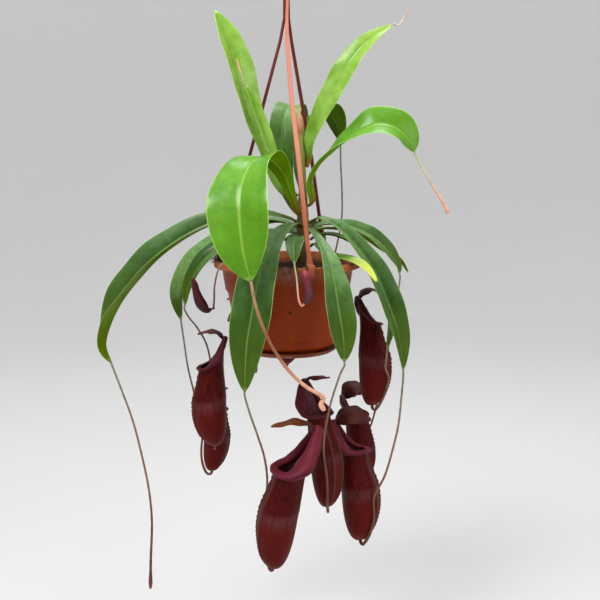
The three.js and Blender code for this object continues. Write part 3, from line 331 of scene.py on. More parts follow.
class Route:
    """Centripetal Catmull-Rom curve through points, walked by the share of its length."""

    STEPS = 24

    def __init__(self, points):
        self.points = [Vector(p) for p in points]
        self.fine = []
        last = len(self.points) - 2
        for i in range(last + 1):
            for k in range(self.STEPS + (i == last)):
                self.fine.append(self.segment(i, k / self.STEPS))
        self.lengths = [0.0]
        for a, b in zip(self.fine, self.fine[1:]):
            self.lengths.append(self.lengths[-1] + (b - a).length)
        self.length = self.lengths[-1]

    def segment(self, i, w):
        """The point at share w of the way from point i to the next."""
        p = self.points
        p1, p2 = p[i], p[i + 1]
        p0 = p[i - 1] if i else p1 + (p1 - p2)
        p3 = p[i + 2] if i + 2 < len(p) else p2 + (p2 - p1)
        d0, d1, d2 = [max((b - a).length ** 0.5, 1e-4) for a, b in ((p0, p1), (p1, p2), (p2, p3))]
        m1 = ((p1 - p0) / d0 - (p2 - p0) / (d0 + d1) + (p2 - p1) / d1) * d1
        m2 = ((p2 - p1) / d1 - (p3 - p1) / (d1 + d2) + (p3 - p2) / d2) * d1
        return (p1 * (2 * w**3 - 3 * w**2 + 1) + p2 * (3 * w**2 - 2 * w**3)
                + m1 * (w**3 - 2 * w**2 + w) + m2 * (w**3 - w**2))

    def at(self, t):
        goal = clamp(t) * self.length
        high = int(clamp(bisect_left(self.lengths, goal), 1, len(self.lengths) - 1))
        before, after = self.lengths[high - 1], self.lengths[high]
        return self.fine[high - 1].lerp(self.fine[high], (goal - before) / max(after - before, 1e-9))

    def heading(self, t):
        step = 0.004
        return (self.at(t + step) - self.at(t - step)).normalized()


def on_rim(point):
    """Millimetres over the rim's centre to metres in the frame."""
    return (point[0] * MM, point[1] * MM, (point[2] - RIM_DROP) * MM)


def show(name, data):
    """A new object in the scene."""
    made = bpy.data.objects.new(name, data)
    bpy.context.scene.collection.objects.link(made)
    return made


def smooth_mesh(name, verts, faces, look, values=None):
    """A smooth object: verts in metres, look a key of MATERIALS, values {attribute: [each vertex's number]}."""
    mesh = bpy.data.meshes.new(name)
    mesh.from_pydata(verts, [], faces)
    for key, numbers in (values or {}).items():
        mesh.attributes.new(key, "FLOAT", "POINT").data.foreach_set("value", numbers)
    mesh.polygons.foreach_set("use_smooth", [True] * len(mesh.polygons))
    mesh.materials.append(MATERIALS[look])
    mesh.update()
    return show(name, mesh)


def make(name, verts, faces, look, node=None, values=None):
    """A shown piece: verts in mm over the rim, look a key of MATERIALS, node the solid that it replaces."""
    piece = smooth_mesh(name, [on_rim(v) for v in verts], faces, look, values)
    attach(piece, "root")
    if node:
        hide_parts(node)
    return piece


def note(values, *numbers):
    """Adds one vertex's numbers to the lists in values, in their order."""
    for key, number in zip(values, numbers):
        values[key].append(number)


def band_faces(rows, columns, start=0, looped=False):
    """Faces between rows of points. Each row is a ring, and looped rows also join the last to the first."""
    faces = []
    for i in range(rows if looped else rows - 1):
        low, high = start + i * columns, start + (i + 1) % rows * columns
        for j in range(columns):
            k = (j + 1) % columns
            faces.append((low + j, low + k, high + k, high + j))
    return faces


def closed_faces(rows, columns):
    """The same, with a cap on the first row and on the last."""
    last = (rows - 1) * columns
    return band_faces(rows, columns) + [tuple(reversed(range(columns))), tuple(range(last, last + columns))]


def tube(route, radius, sides, steps):
    """Rings of radius(t, angle) round a route, closed: (verts, faces, share of the length at each vertex)."""
    verts, shares = [], []
    start = route.heading(0)
    normal = Vector((1, 0, 0)) if abs(start.y) > 0.9 else Vector((0, 1, 0))
    for i in range(steps + 1):
        t = i / steps
        heading = route.heading(t)
        normal = (normal - heading * normal.dot(heading)).normalized()
        side = heading.cross(normal)
        for angle in turns(sides):
            verts.append(route.at(t) + (normal * math.cos(angle) + side * math.sin(angle)) * radius(t, angle))
            shares.append(t)
    return verts, closed_faces(steps + 1, sides), shares


def shoot(name, route, radius, sides, steps, look, node):
    """A tube as a piece, with its length for the shader."""
    verts, faces, shares = tube(route, radius, sides, steps)
    return make(name, verts, faces, look, node, {"along": shares})


def sheet(steps, shares, point):
    """A closed blade of point(t, q, under), t running along it and q through the shares across it."""
    verts, values = [], {"across": [], "along": [], "under": []}
    for i in range(steps + 1):
        t = i / steps
        for under, row in ((0.0, shares), (1.0, shares[::-1])):
            for q in row:
                verts.append(point(t, q, under))
                note(values, q, t, under)
    ring = 2 * len(shares)
    faces = band_faces(steps + 1, ring)
    for start, far in ((0, False), (steps * ring, True)):
        for j in range(len(shares) - 1):
            cap = [start + j, start + j + 1, start + ring - 2 - j, start + ring - 1 - j]
            faces.append(tuple(cap if far else reversed(cap)))
    return verts, faces, values


def spun(profile, segments, wobble=None):
    """Rings about the pot's axis from (radius, height) points, lifted by wobble(radius, height, angle)."""
    return [(r * math.cos(angle), r * math.sin(angle), z + (wobble(r, z, angle) if wobble else 0))
            for r, z in profile for angle in turns(segments)]


def lathe(name, profile, segments, look, node, looped=False, wobble=None):
    """A turned piece: a looped profile closes on itself, and another one gets a cap at each end."""
    rows = len(profile)
    faces = band_faces(rows, segments, looped=True) if looped else closed_faces(rows, segments)
    return make(name, spun(profile, segments, wobble), faces, look, node)


def rounded(outline, radius):
    """The closed outline with its corners rounded."""
    steps = 3
    out = []
    for i, corner in enumerate(outline):
        here = Vector(corner)
        before = Vector(outline[i - 1]) - here
        after = Vector(outline[(i + 1) % len(outline)]) - here
        cut_back = min(radius, before.length * 0.45, after.length * 0.45)
        a = here + before.normalized() * cut_back
        b = here + after.normalized() * cut_back
        for k in range(steps + 1):
            w = k / steps
            p = a * (1 - w) ** 2 + here * 2 * w * (1 - w) + b * w**2
            out.append((p.x, p.y))
    return out


# ---------------- shader helpers

MATERIALS = {}  # by the names that the calls below give


def scaled(tone, k):
    """The tone made k times as bright, within 1."""
    return tuple(min(c * k, 1) for c in tone)


class Shader:
    """Small wrapper over one material's nodes. A value is a constant or another node's output."""

    def __init__(self, name, roughness, **sockets):
        MATERIALS[name] = bpy.data.materials.new(name)
        MATERIALS[name].use_nodes = True
        self.tree = MATERIALS[name].node_tree
        self.bsdf = self.tree.nodes["Principled BSDF"]
        self.surface(Roughness=roughness, **sockets)

    def put(self, socket, value):
        if hasattr(value, "is_output"):
            self.tree.links.new(value, socket)
        else:
            socket.default_value = value

    def surface(self, **sockets):
        for key, value in sockets.items():
            self.put(self.bsdf.inputs[key.replace("_", " ")], value)

    def node(self, kind, sockets=None, **settings):
        """The outputs of a new node with these values in its sockets."""
        made = self.tree.nodes.new("ShaderNode" + kind)
        for key, value in settings.items():
            setattr(made, key, value)
        for key, value in (sockets or {}).items():
            self.put(made.inputs[key], value)
        return made.outputs

    def attribute(self, name):
        return self.node("Attribute", attribute_name=name)["Fac"]

    def place(self):
        return self.node("TexCoord")["Object"]

    def height(self, vector):
        return self.node("SeparateXYZ", {0: vector})["Z"]

    def math(self, operation, a, b=0.0, c=0.0):
        return self.node("Math", {0: a, 1: b, 2: c}, operation=operation)[0]

    def combine(self, x, y):
        return self.node("CombineXYZ", {0: x, 1: y})[0]

    def noise(self, vector, scale, detail=3.0, rough=0.5):
        sockets = {"Vector": vector, "Scale": scale, "Detail": detail, "Roughness": rough}
        return self.node("TexNoise", sockets)["Fac"]

    def cells(self, vector, scale):
        return self.node("TexVoronoi", {"Vector": vector, "Scale": scale})["Distance"]

    def stretch(self, vector, x, y, z):
        return self.node("Mapping", {"Vector": vector, "Scale": (x, y, z)})[0]

    def span(self, value, low, high, start=0.0, end=1.0):
        """Runs smoothly from start, where the value is low, to end, where it is high."""
        sockets = {"Value": value, "From Min": low, "From Max": high, "To Min": start, "To Max": end}
        return self.node("MapRange", sockets, interpolation_type="SMOOTHSTEP")[0]

    def blend(self, share, a, b):
        """Colour a with a share of colour b."""
        a, b = [(*tone, 1.0) if isinstance(tone, tuple) else tone for tone in (a, b)]
        return self.node("Mix", {0: share, 6: a, 7: b}, data_type="RGBA")[2]

    def over(self, base, tone, mask, share):
        """The base with a share of the tone over it where the mask is 1."""
        return self.blend(self.math("MULTIPLY", mask, share), base, tone)

    def bump(self, strength, distance, *layers):
        """Relief that is the sum of (height, share) layers."""
        total = 0.0
        for height, share in layers:
            total = self.math("MULTIPLY_ADD", height, share, total)
        sockets = {"Strength": strength, "Distance": distance, "Height": total}
        self.surface(Normal=self.node("Bump", sockets)[0])


# ---------------- materials

def leaf_material(name, face, sheen, back, tip_tone, rib, edge, foot, roughness, gloss, ripe, painted_sheen):
    """A strap leaf: across runs -1..1 from margin to margin, along 0..1 from foot to tip, under is 1 below.

    foot is the colour at the stem, gloss the strength of the waxy coat and of the painted sheen patches, ripe
    the share of tip_tone at the tip, and the last argument the share of painted sheen: a pale tone painted
    where the blade faces up, for the light from above. The sheen tone is itself a painted sheen.
    """
    s = Shader(name, roughness, Coat_Roughness=0.16, Subsurface_Weight=0.08,
               Subsurface_Radius=(0.004, 0.006, 0.001), Subsurface_Scale=0.5)
    length = s.attribute("along")
    under = s.attribute("under")
    upper = s.math("SUBTRACT", 1.0, under)
    off = s.math("ABSOLUTE", s.attribute("across"))
    place = s.place()
    vein_place = s.combine(off, s.math("MULTIPLY_ADD", off, -0.22, length))
    blotch = s.noise(place, 38, 4, 0.55)
    patch = s.noise(place, 170, 3, 0.6)
    streak = s.noise(s.stretch(vein_place, 26, 2.2, 1), 1.0)

    # The sheen tone is a painted sheen: its blotches, patches and streaks over the face stand in for glossy
    # light, more of it on glossier leaves.
    top = s.blend(s.span(blotch, 0.35, 0.7), face, sheen)
    top = s.over(top, sheen, s.span(patch, 0.48, 0.68), 0.3 + gloss * 0.4)
    top = s.over(top, sheen, s.span(streak, 0.42, 0.68), 0.14)
    low = s.blend(s.span(blotch, 0.3, 0.7), back, scaled(back, 0.72))
    low = s.over(low, scaled(back, 1.35), s.span(streak, 0.4, 0.66), 0.3)
    body = s.blend(under, top, low)

    # Painted sheen: a pale tone over the upper face where it faces up, for the light from above.
    flat = s.span(s.height(s.node("NewGeometry")["Normal"]), 0.0, 0.8)
    pale = s.math("MULTIPLY", flat, s.span(patch, 0.3, 0.6, 0.6 * painted_sheen, painted_sheen))
    body = s.over(body, scaled([mix(c, 0.9, 0.04) for c in sheen], 2.2), pale, upper)
    side_vein = s.math("ABSOLUTE", s.math("SUBTRACT", off, 0.52))
    body = s.over(body, rib, s.span(side_vein, 0.0, 0.035, 1.0, 0.0), 0.07)
    body = s.over(body, tip_tone, s.math("MULTIPLY", s.span(length, 0.5, 0.98), upper), ripe)
    body = s.over(body, rib, s.span(off, 0.02, 0.07, 1.0, 0.0), 0.65)
    body = s.over(body, edge, s.span(off, 0.955, 0.995), 0.7)
    body = s.blend(s.span(length, 0.02, 0.12, 0.85, 0.0), body, foot)
    body = s.over(body, edge, s.span(length, 0.975, 1.0), 0.7)

    grain = s.span(s.noise(place, 60), 0.3, 0.75, roughness - 0.06, roughness + 0.14)
    s.surface(Base_Color=body, Roughness=grain, Specular_IOR_Level=s.span(under, 0.0, 1.0, 0.14, 0.03),
              Coat_Weight=s.span(under, 0.0, 1.0, gloss, 0.0))
    rows = s.node("TexWave", {"Vector": vein_place, "Scale": 16, "Distortion": 1.5, "Detail": 2},
                  wave_type="BANDS", bands_direction="Y")["Fac"]
    s.bump(0.35 + gloss * 0.7, 0.0011, (patch, 0.9), (rows, 0.06))


def pitcher_material():
    """The wall: deep maroon with long fine veins, a paler band at the hip that is a painted sheen, and dull
    pink inside.
    """
    s = Shader("pitcher_wall", 0.44, Specular_IOR_Level=0.06)
    up, turn, inside, wing = [s.attribute(key) for key in ("up", "turn", "inside", "wing")]
    veins = s.noise(s.stretch(s.combine(turn, up), 60, 5, 1), 1.0, 4, 0.6)
    speckle = s.noise(s.place(), 330, 2)
    cloud = s.noise(s.place(), 34)
    base = s.blend(s.span(veins, 0.36, 0.66), (0.023, 0.0016, 0.0016), (0.1, 0.006, 0.005))
    base = s.over(base, (0.15, 0.025, 0.02), s.span(speckle, 0.55, 0.72), 0.35)
    base = s.over(base, (0.07, 0.004, 0.004), s.span(cloud, 0.35, 0.7), 0.5)
    base = s.over(base, (0.12, 0.009, 0.006), s.span(up, HIP - 0.2, HIP, 1.0, 0.0), 0.5)
    # Painted sheen: a paler band just below the hip.
    hip = s.math("MULTIPLY", s.span(up, HIP - 0.16, HIP - 0.01), s.span(up, HIP - 0.01, HIP + 0.06, 1.0, 0.0))
    base = s.over(base, (0.17, 0.055, 0.055), hip, s.span(veins, 0.3, 0.62, 0.08, 0.42))
    base = s.over(base, (0.12, 0.05, 0.042), wing, 0.9)
    base = s.over(base, (0.17, 0.045, 0.02), s.span(up, 0.0, 0.12, 1.0, 0.0), 0.5)
    base = s.blend(inside, base, (0.09, 0.03, 0.038))
    s.surface(Base_Color=base, Roughness=s.span(cloud, 0.3, 0.7, 0.36, 0.52))
    s.bump(0.35, 0.0008, (veins, 0.7), (speckle, 0.5))


def lip_material(name, ribs, grooves):
    """The ribbed lip: pale ribs with darker grooves, darker again at its outer edge."""
    s = Shader(name, 0.36, Specular_IOR_Level=0.14)
    rib = s.attribute("rib")
    tone = s.noise(s.place(), 60)
    base = s.blend(s.span(rib, 0.1, 0.9), grooves, ribs)
    base = s.over(base, (0.1, 0.004, 0.012), s.span(tone, 0.35, 0.7), 0.3)
    base = s.over(base, (0.06, 0.004, 0.01), s.span(s.attribute("spread"), 0.8, 1.0), 0.6)
    s.surface(Base_Color=base)
    s.bump(0.5, 0.0005, (rib, 1.0), (tone, 0.2))


def lid_material(name, face, streak, edge, neck):
    """The lid: streaked along its slanting veins, darker at its rim, its keel and its neck."""
    s = Shader(name, 0.45, Specular_IOR_Level=0.08)
    length = s.attribute("along")
    off = s.math("ABSOLUTE", s.attribute("across"))
    vein_place = s.combine(off, s.math("MULTIPLY_ADD", off, -0.3, length))
    grain = s.noise(s.stretch(vein_place, 9, 5, 1), 1.0, 4, 0.6)
    spots = s.noise(s.place(), 260, 2)
    base = s.blend(s.span(grain, 0.35, 0.68), face, streak)
    base = s.over(base, scaled(face, 0.45), s.span(spots, 0.56, 0.7), 0.45)
    base = s.over(base, edge, s.span(off, 0.86, 1.0), 0.6)
    base = s.blend(s.span(length, 0.1, 0.75, 1.0, 0.0), base, neck)
    base = s.over(base, edge, s.span(off, 0.0, 0.09, 1.0, 0.0), 0.5)
    s.surface(Base_Color=base)
    s.bump(0.35, 0.0008, (grain, 1.0), (spots, 0.5))


def young_material(name, low, high):
    """A closed young pitcher: paler and redder towards its lid, with small freckles."""
    s = Shader(name, 0.45, Specular_IOR_Level=0.25)
    length = s.attribute("along")
    freckles = s.noise(s.place(), 420, 3, 0.6)
    base = s.blend(s.span(length, 0.25, 0.85), low, high)
    base = s.over(base, scaled(low, 0.4), s.span(freckles, 0.5, 0.7), 0.5)
    base = s.over(base, scaled(high, 2.2), s.span(length, 0.86, 0.97), 0.6)
    s.surface(Base_Color=base)
    s.bump(0.3, 0.0006, (freckles, 1.0))


def shoot_material(name, start, middle, end, roughness=0.45):
    """Stems and tendrils: the colour changes along them, with fine dark flecks and ridges."""
    s = Shader(name, roughness, Specular_IOR_Level=0.25)
    length = s.attribute("along")
    flecks = s.noise(s.stretch(s.place(), 1, 1, 0.25), 420, 3, 0.6)
    base = s.blend(s.span(length, 0.05, 0.4), start, middle)
    base = s.blend(s.span(length, 0.42, 0.85), base, end)
    base = s.over(base, scaled(middle, 0.4), s.span(flecks, 0.52, 0.7), 0.55)
    base = s.over(base, scaled(middle, 1.5), s.span(s.noise(s.place(), 45), 0.4, 0.75), 0.35)
    s.surface(Base_Color=base)
    s.bump(0.3, 0.0006, (flecks, 1.0))


def plastic_material(name, tone, dark, light, roughness=0.4, top=None, heights=(0, 1), pit=None):
    """Moulded plastic with faint flow marks, fine scuffs and some soil dust.

    top is a paler tone that the plastic fades to between the two heights, in metres: painted light on its upper
    part. The last argument is the place of a small pit, whose shade is painted there as a dark spot.
    """
    s = Shader(name, roughness, Specular_IOR_Level=0.12)
    place = s.place()
    flow = s.noise(s.stretch(place, 1, 1, 0.18), 26, 4, 0.55)
    fine = s.noise(place, 900, 2)
    scuff = s.noise(s.stretch(place, 1, 1, 3.5), 150, 4, 0.7)
    dust = s.noise(place, 55, 5, 0.7)
    base = s.blend(s.span(flow, 0.3, 0.72), dark, tone)
    base = s.over(base, light, s.span(flow, 0.52, 0.8), 0.5)
    # Painted light: the plastic turns paler towards the top.
    if top:
        base = s.blend(s.span(s.height(place), *heights, 0.0, 0.8), base, top)
    base = s.over(base, scaled(dark, 0.55), s.span(scuff, 0.63, 0.72), 0.4)
    base = s.over(base, (0.13, 0.065, 0.025), s.span(dust, 0.62, 0.76), 0.28)
    # Painted shade: a dark spot for the shade inside a small pit.
    if pit:
        apart = s.node("VectorMath", {0: place, 1: pit}, operation="DISTANCE")["Value"]
        base = s.blend(s.span(apart, 0.001, 0.002, 0.9, 0.0), base, (0.02, 0.004, 0.002))
    s.surface(Base_Color=base, Roughness=s.span(scuff, 0.35, 0.7, roughness - 0.05, roughness + 0.2))
    s.bump(0.16, 0.0005, (fine, 0.5), (flow, 0.6))


def soil_material():
    s = Shader("potting_mix", 0.92)
    place = s.place()
    crumbs = s.cells(place, 260)
    fibre = s.noise(s.stretch(place, 3, 1, 1), 320, 4, 0.7)
    base = s.blend(s.span(crumbs, 0.1, 0.6), (0.012, 0.007, 0.005), (0.06, 0.033, 0.018))
    s.surface(Base_Color=s.blend(s.span(fibre, 0.58, 0.72), base, (0.16, 0.09, 0.045)))
    s.bump(0.9, 0.002, (crumbs, 1.0), (fibre, 1.0))


def fibre_material(name, tone, dark):
    s = Shader(name, 0.8)
    cloud = s.noise(s.place(), 300, 3, 0.6)
    s.surface(Base_Color=s.blend(s.span(cloud, 0.35, 0.65), dark, tone))
    s.bump(0.3, 0.0005, (cloud, 1.0))


WARM_FOOT = (0.24, 0.1, 0.015)
GREEN_FOOT = (0.09, 0.13, 0.012)

leaf_material(
    "leaf_young", (0.045, 0.18, 0.001), (0.1, 0.28, 0.006), (0.12, 0.24, 0.002), (0.12, 0.31, 0.002),
    (0.28, 0.46, 0.06), (0.4, 0.58, 0.1), WARM_FOOT, roughness=0.32, gloss=0.3, ripe=0.4, painted_sheen=0.15)
leaf_material(
    "leaf_upright", (0.14, 0.32, 0.008), (0.3, 0.5, 0.09), (0.14, 0.28, 0.006), (0.18, 0.36, 0.01),
    (0.36, 0.5, 0.09), (0.42, 0.58, 0.12), WARM_FOOT, roughness=0.32, gloss=0.3, ripe=0.3, painted_sheen=0.1)
leaf_material(
    "leaf_shaded", (0.035, 0.1, 0.006), (0.07, 0.17, 0.02), (0.06, 0.12, 0.005), (0.05, 0.12, 0.005),
    (0.14, 0.27, 0.04), (0.26, 0.36, 0.1), GREEN_FOOT, roughness=0.4, gloss=0.1, ripe=0.3, painted_sheen=0.35)
leaf_material(
    "leaf_mature", (0.01, 0.042, 0.001), (0.031, 0.095, 0.006), (0.11, 0.19, 0.002), (0.06, 0.115, 0.0003),
    (0.16, 0.3, 0.04), (0.36, 0.44, 0.12), GREEN_FOOT, roughness=0.36, gloss=0.14, ripe=0.8, painted_sheen=0.8)
leaf_material(
    "leaf_lime", (0.04, 0.12, 0.002), (0.08, 0.19, 0.008), (0.12, 0.19, 0.002), (0.72, 0.8, 0.12),
    (0.3, 0.45, 0.08), (0.5, 0.6, 0.16), GREEN_FOOT, roughness=0.36, gloss=0.15, ripe=0.95, painted_sheen=0.2)
pitcher_material()
lip_material("lip_crimson", (0.27, 0.03, 0.055), (0.018, 0.0005, 0.002))
lip_material("lip_maroon", (0.13, 0.018, 0.022), (0.01, 0.001, 0.001))
lid_material(
    "lid_maroon", (0.065, 0.014, 0.011), (0.12, 0.034, 0.026), (0.05, 0.009, 0.008), (0.035, 0.004, 0.004))
lid_material("lid_brown", (0.11, 0.028, 0.01), (0.2, 0.065, 0.02), (0.06, 0.012, 0.006), (0.05, 0.005, 0.005))
shoot_material("tendril_brown", (0.24, 0.2, 0.14), (0.22, 0.11, 0.065), (0.14, 0.036, 0.02))
shoot_material("tendril_tan", (0.42, 0.25, 0.13), (0.28, 0.095, 0.05), (0.85, 0.45, 0.28))
shoot_material("tendril_pale", (0.42, 0.44, 0.2), (0.5, 0.42, 0.27), (0.75, 0.33, 0.22))
shoot_material("tendril_pink", (0.6, 0.55, 0.42), (0.62, 0.52, 0.42), (0.5, 0.36, 0.28))
shoot_material("stem_bark", (0.1, 0.06, 0.03), (0.17, 0.13, 0.045), (0.24, 0.24, 0.05), 0.6)
shoot_material("growing_tip", (0.4, 0.2, 0.08), (0.5, 0.24, 0.12), (0.62, 0.36, 0.2), 0.6)
# The pot's paler top tone is a painted highlight towards its lip.
plastic_material(
    "pot_plastic", (0.28, 0.037, 0.001), (0.19, 0.021, 0.001), (0.38, 0.08, 0.008), roughness=0.42,
    top=(0.42, 0.12, 0.045), heights=(RIM_HEIGHT - 0.018, RIM_HEIGHT - 0.004),
    pit=(0.0029, -0.0558, RIM_HEIGHT - 0.043))
plastic_material("saucer_plastic", (0.22, 0.06, 0.025), (0.14, 0.035, 0.014), (0.3, 0.09, 0.04))
# The hanger's paler top tone is painted light, paler from a little above the rim up to the hook.
plastic_material(
    "hanger_plastic", (0.45, 0.13, 0.06), (0.28, 0.07, 0.03), (0.56, 0.2, 0.1), roughness=0.36,
    top=(0.72, 0.28, 0.2), heights=(RIM_HEIGHT + 0.03, RIM_HEIGHT + 0.12))
# A darker copy of the hanger's plastic for the strands behind: painted shade.
plastic_material("hanger_painted_shade", (0.15, 0.022, 0.02), (0.07, 0.01, 0.009), (0.24, 0.06, 0.05))
soil_material()
fibre_material("moss_fibre", (0.1, 0.045, 0.025), (0.03, 0.012, 0.01))
fibre_material("root_hair", (0.28, 0.15, 0.1), (0.08, 0.03, 0.02))
young_material("young_pitcher_pink", (0.09, 0.02, 0.034), (0.18, 0.02, 0.032))
young_material("young_pitcher_dark", (0.035, 0.002, 0.004), (0.06, 0.004, 0.006))


# ---------------- leaves

STEM_ROUTE = Route(STEM_POINTS)
LEAF_STEPS = 56
LEAF_HALF_ACROSS = 9


def stem_at(height):
    """Middle and radius of the stem at a height."""
    low, high = 0.0, 1.0
    for _ in range(24):
        middle = (low + high) / 2
        if STEM_ROUTE.at(middle).z < height:
            low = middle
        else:
            high = middle
    return STEM_ROUTE.at(low), number_at(STEM_RADII, low)


def leaf_spine(leaf):
    degrees, height = leaf["at"]
    centre, radius = stem_at(height)
    out = polar(degrees)
    foot = centre + out * (radius + SEAT_GAP + 0.4)
    reach, climb = leaf.get("lead", (5, 3))
    lead = centre + out * (radius + SEAT_GAP + reach) + upward(climb)
    return Route([foot, lead] + leaf["spine"])


def leaf_half_width(leaf, t):
    power = math.log(0.5) / math.log(leaf["peak"])
    bulge = max(math.sin(math.pi * t**power), 0) ** 0.8
    return mix(mix(leaf.get("foot", FOOT_HALF), TIP_HALF, t), leaf["half"], bulge)


def leaf_point(leaf, spine, seed, t, q, under):
    """A point of the blade: t runs 0..1 along it and q -1..1 across it."""
    heading = spine.heading(t)
    side = heading.cross(vector_at(leaf["up"], t)).normalized()
    normal = side.cross(heading)
    half = leaf_half_width(leaf, t)
    off = abs(q)
    fold = leaf["fold"] * smooth(t * 5)
    rise = fold * half * (off ** 0.8) + 0.035 * half * math.sin(math.pi * off) * fold
    phase = seed + (1.7 if q > 0 else 0)
    wave = MARGIN_WAVE * half * off**2 * math.sin(2 * math.pi * t * MARGIN_WAVES + phase) * smooth(t * 3)
    edge = math.sqrt(max(1 - off**12, 0))
    if under:
        drop = BLADE * (0.5 + 0.5 * edge) + KEEL * bell(off, KEEL_HALF) * (1 - 0.7 * t)
    else:
        drop = BLADE * (0.5 - 0.5 * edge) + GROOVE * bell(off, GROOVE_HALF) * (1 - 0.6 * t)
    return spine.at(t) + side * (q * half) + normal * (rise + wave - drop)


def build_leaf(name, leaf):
    spine = leaf_spine(leaf)
    seed = sum(ord(c) for c in name) * 0.37
    shares = [math.sin(math.pi / 2 * share) for share in evenly(LEAF_HALF_ACROSS)]
    verts, faces, values = sheet(LEAF_STEPS, shares, partial(leaf_point, leaf, spine, seed))
    bright = name in BRIGHT_LEAVES
    kinds = {"leaf_lime": LIME_LEAVES, "leaf_upright": UPRIGHT_LEAVES, "leaf_shaded": SHADED_LEAVES}
    plain = "leaf_young" if bright else "leaf_mature"
    look = next((kind for kind, names in kinds.items() if name in names), plain)
    piece = make(f"leaf_{name}", verts, faces, look, f"leaf_{name}", values)


# ---------------- pitchers

CUP_TURNS = 96
CUP_STEPS = 46
SOLID_STEPS = 6                # of the wall's foot, below the cavity
LIP_TURNS = 240
LIP_OUTLINE = [(-0.1, -0.34), (0.2, -0.5), (0.62, -0.5), (0.9, -0.36), (1.02, -0.14), (0.86, 0.1),
               (0.6, 0.26), (0.3, 0.35), (0.0, 0.36), (-0.24, 0.31), (-0.36, 0.14), (-0.3, -0.1)]
LID_STEPS = 26
LID_HALF_ACROSS = 7


def cup_radius(cup, s):
    """Radius of the wall: it swells from the foot, narrows over the hip and flares a little under the lip."""
    belly = math.sin(min(s / 0.45, 1) * math.pi / 2) ** 0.45
    waist = mix(1, cup["throat"] / cup["width"], smooth((s - HIP) / 0.3))
    flare = 1 + 0.05 * clamp((s - 0.8) / 0.2) ** 2
    return mix(CUP_FOOT_RADIUS, cup["width"], belly) * waist * flare


def cup_frame(cup):
    """Foot, height, axis and the level direction that the mouth looks in."""
    foot = Vector(cup["foot"])
    axis = Vector(cup["mouth"]) - foot
    return foot, axis.length, axis.normalized(), polar(cup["face"])


def off_wing(phi):
    """Angle past the wing line at the same side of the front."""
    return abs((phi + math.pi) % (2 * math.pi) - math.pi) - WING_ANGLE


def cup_point(cup, s, phi, inset):
    """Point of the wall: s runs 0..1 up it, phi round it from the front, inset towards the axis."""
    foot, height, axis, face = cup_frame(cup)
    back = ((1 - math.cos(phi)) / 2) ** cup.get("neck", NECK_POWER)
    rise = cup["rise"] * back * s**3
    arch = math.sin(math.pi * min(s, 1))
    front = (face - axis * face.dot(axis)).normalized()
    side = axis.cross(front)
    radius = max(cup_radius(cup, s) * (1 + 0.05 * bell(off_wing(phi), 0.14) * arch) - inset, 0.2)
    ahead = radius * math.cos(phi) + arch * height * CUP_BOW + rise * NECK_LEAN
    return foot + axis * (s * height + rise) + front * ahead + side * (radius * CUP_SIDE * math.sin(phi))


def wing_share(s, phi):
    """The two wings down the front of the wall, as a share of their height."""
    return bell(off_wing(phi), 0.055) * smooth(s / 0.15) * smooth((1.0 - s) / 0.12)


def build_wall(name, cup):
    """Wall with fringed wings, a ring at the hip and fine ribs outside, and a plain cavity inside."""
    verts = []
    values = {"up": [], "turn": [], "inside": [], "wing": []}
    outer = [(i / CUP_STEPS) ** 1.25 for i in range(CUP_STEPS + 1)]
    inner = outer[SOLID_STEPS:][::-1]
    for s in outer:
        fringe = 0.75 + 0.25 * math.sin(s * 150)
        ring = 0.25 * bell(s - HIP, 0.02)
        for phi in turns(CUP_TURNS):
            wing = wing_share(s, phi)
            ribs = 0.1 * math.sin(phi * 22) * smooth(s / 0.2)
            verts.append(cup_point(cup, s, phi, -WING_HEIGHT * wing * fringe - ring - ribs))
            note(values, s, math.sin(phi), 0.0, wing)
    for s in inner:
        for phi in turns(CUP_TURNS):
            verts.append(cup_point(cup, s, phi, CUP_WALL))
            note(values, s, math.sin(phi), 1.0, 0.0)
    faces = closed_faces(len(outer) + len(inner), CUP_TURNS)
    piece = make(f"pitcher_{name}_wall", verts, faces, "pitcher_wall", f"pitcher_{name}", values)


def build_lip(name, cup):
    """Ribbed lip that rolls over the rim, widest beside the neck."""
    axis = cup_frame(cup)[2]
    rim = [cup_point(cup, 1, phi, 0) for phi in turns(LIP_TURNS)]
    middle = sum(rim, Vector()) / LIP_TURNS
    verts, values = [], {"rib": [], "spread": []}
    for j, phi in enumerate(turns(LIP_TURNS)):
        run = (rim[(j + 1) % LIP_TURNS] - rim[j - 1]).normalized()
        radial = rim[j] - middle
        radial = (radial - axis * radial.dot(axis)).normalized()
        rise = radial.cross(run).normalized()
        rise = -rise if rise.dot(axis) < 0 else rise
        spread = run.cross(rise).normalized()
        spread = -spread if spread.dot(radial) < 0 else spread
        back = (1 - math.cos(phi)) / 2
        width = cup["flare"] * (0.65 + 0.8 * math.sin(math.pi * back**1.6))
        width *= 1 + 0.06 * math.sin(phi * 5 + len(name)) + 0.04 * math.sin(phi * 11)
        ridge = float(j % 2)
        for out, up in LIP_OUTLINE:
            crest = clamp(up * 3 + 0.3) * clamp(out * 4 + 0.8)
            verts.append(rim[j] + spread * (out * width - (CUP_WALL * 0.6 if out < 0 else 0))
                         + rise * (up * width + (ridge - 0.5) * 0.32 * crest))
            note(values, mix(0.45, ridge, crest), clamp(out))
    faces = band_faces(LIP_TURNS, len(LIP_OUTLINE), looped=True)
    look = "lip_crimson" if name in CRIMSON_LIPS else "lip_maroon"
    piece = make(f"pitcher_{name}_lip", verts, faces, look, f"pitcher_{name}", values)


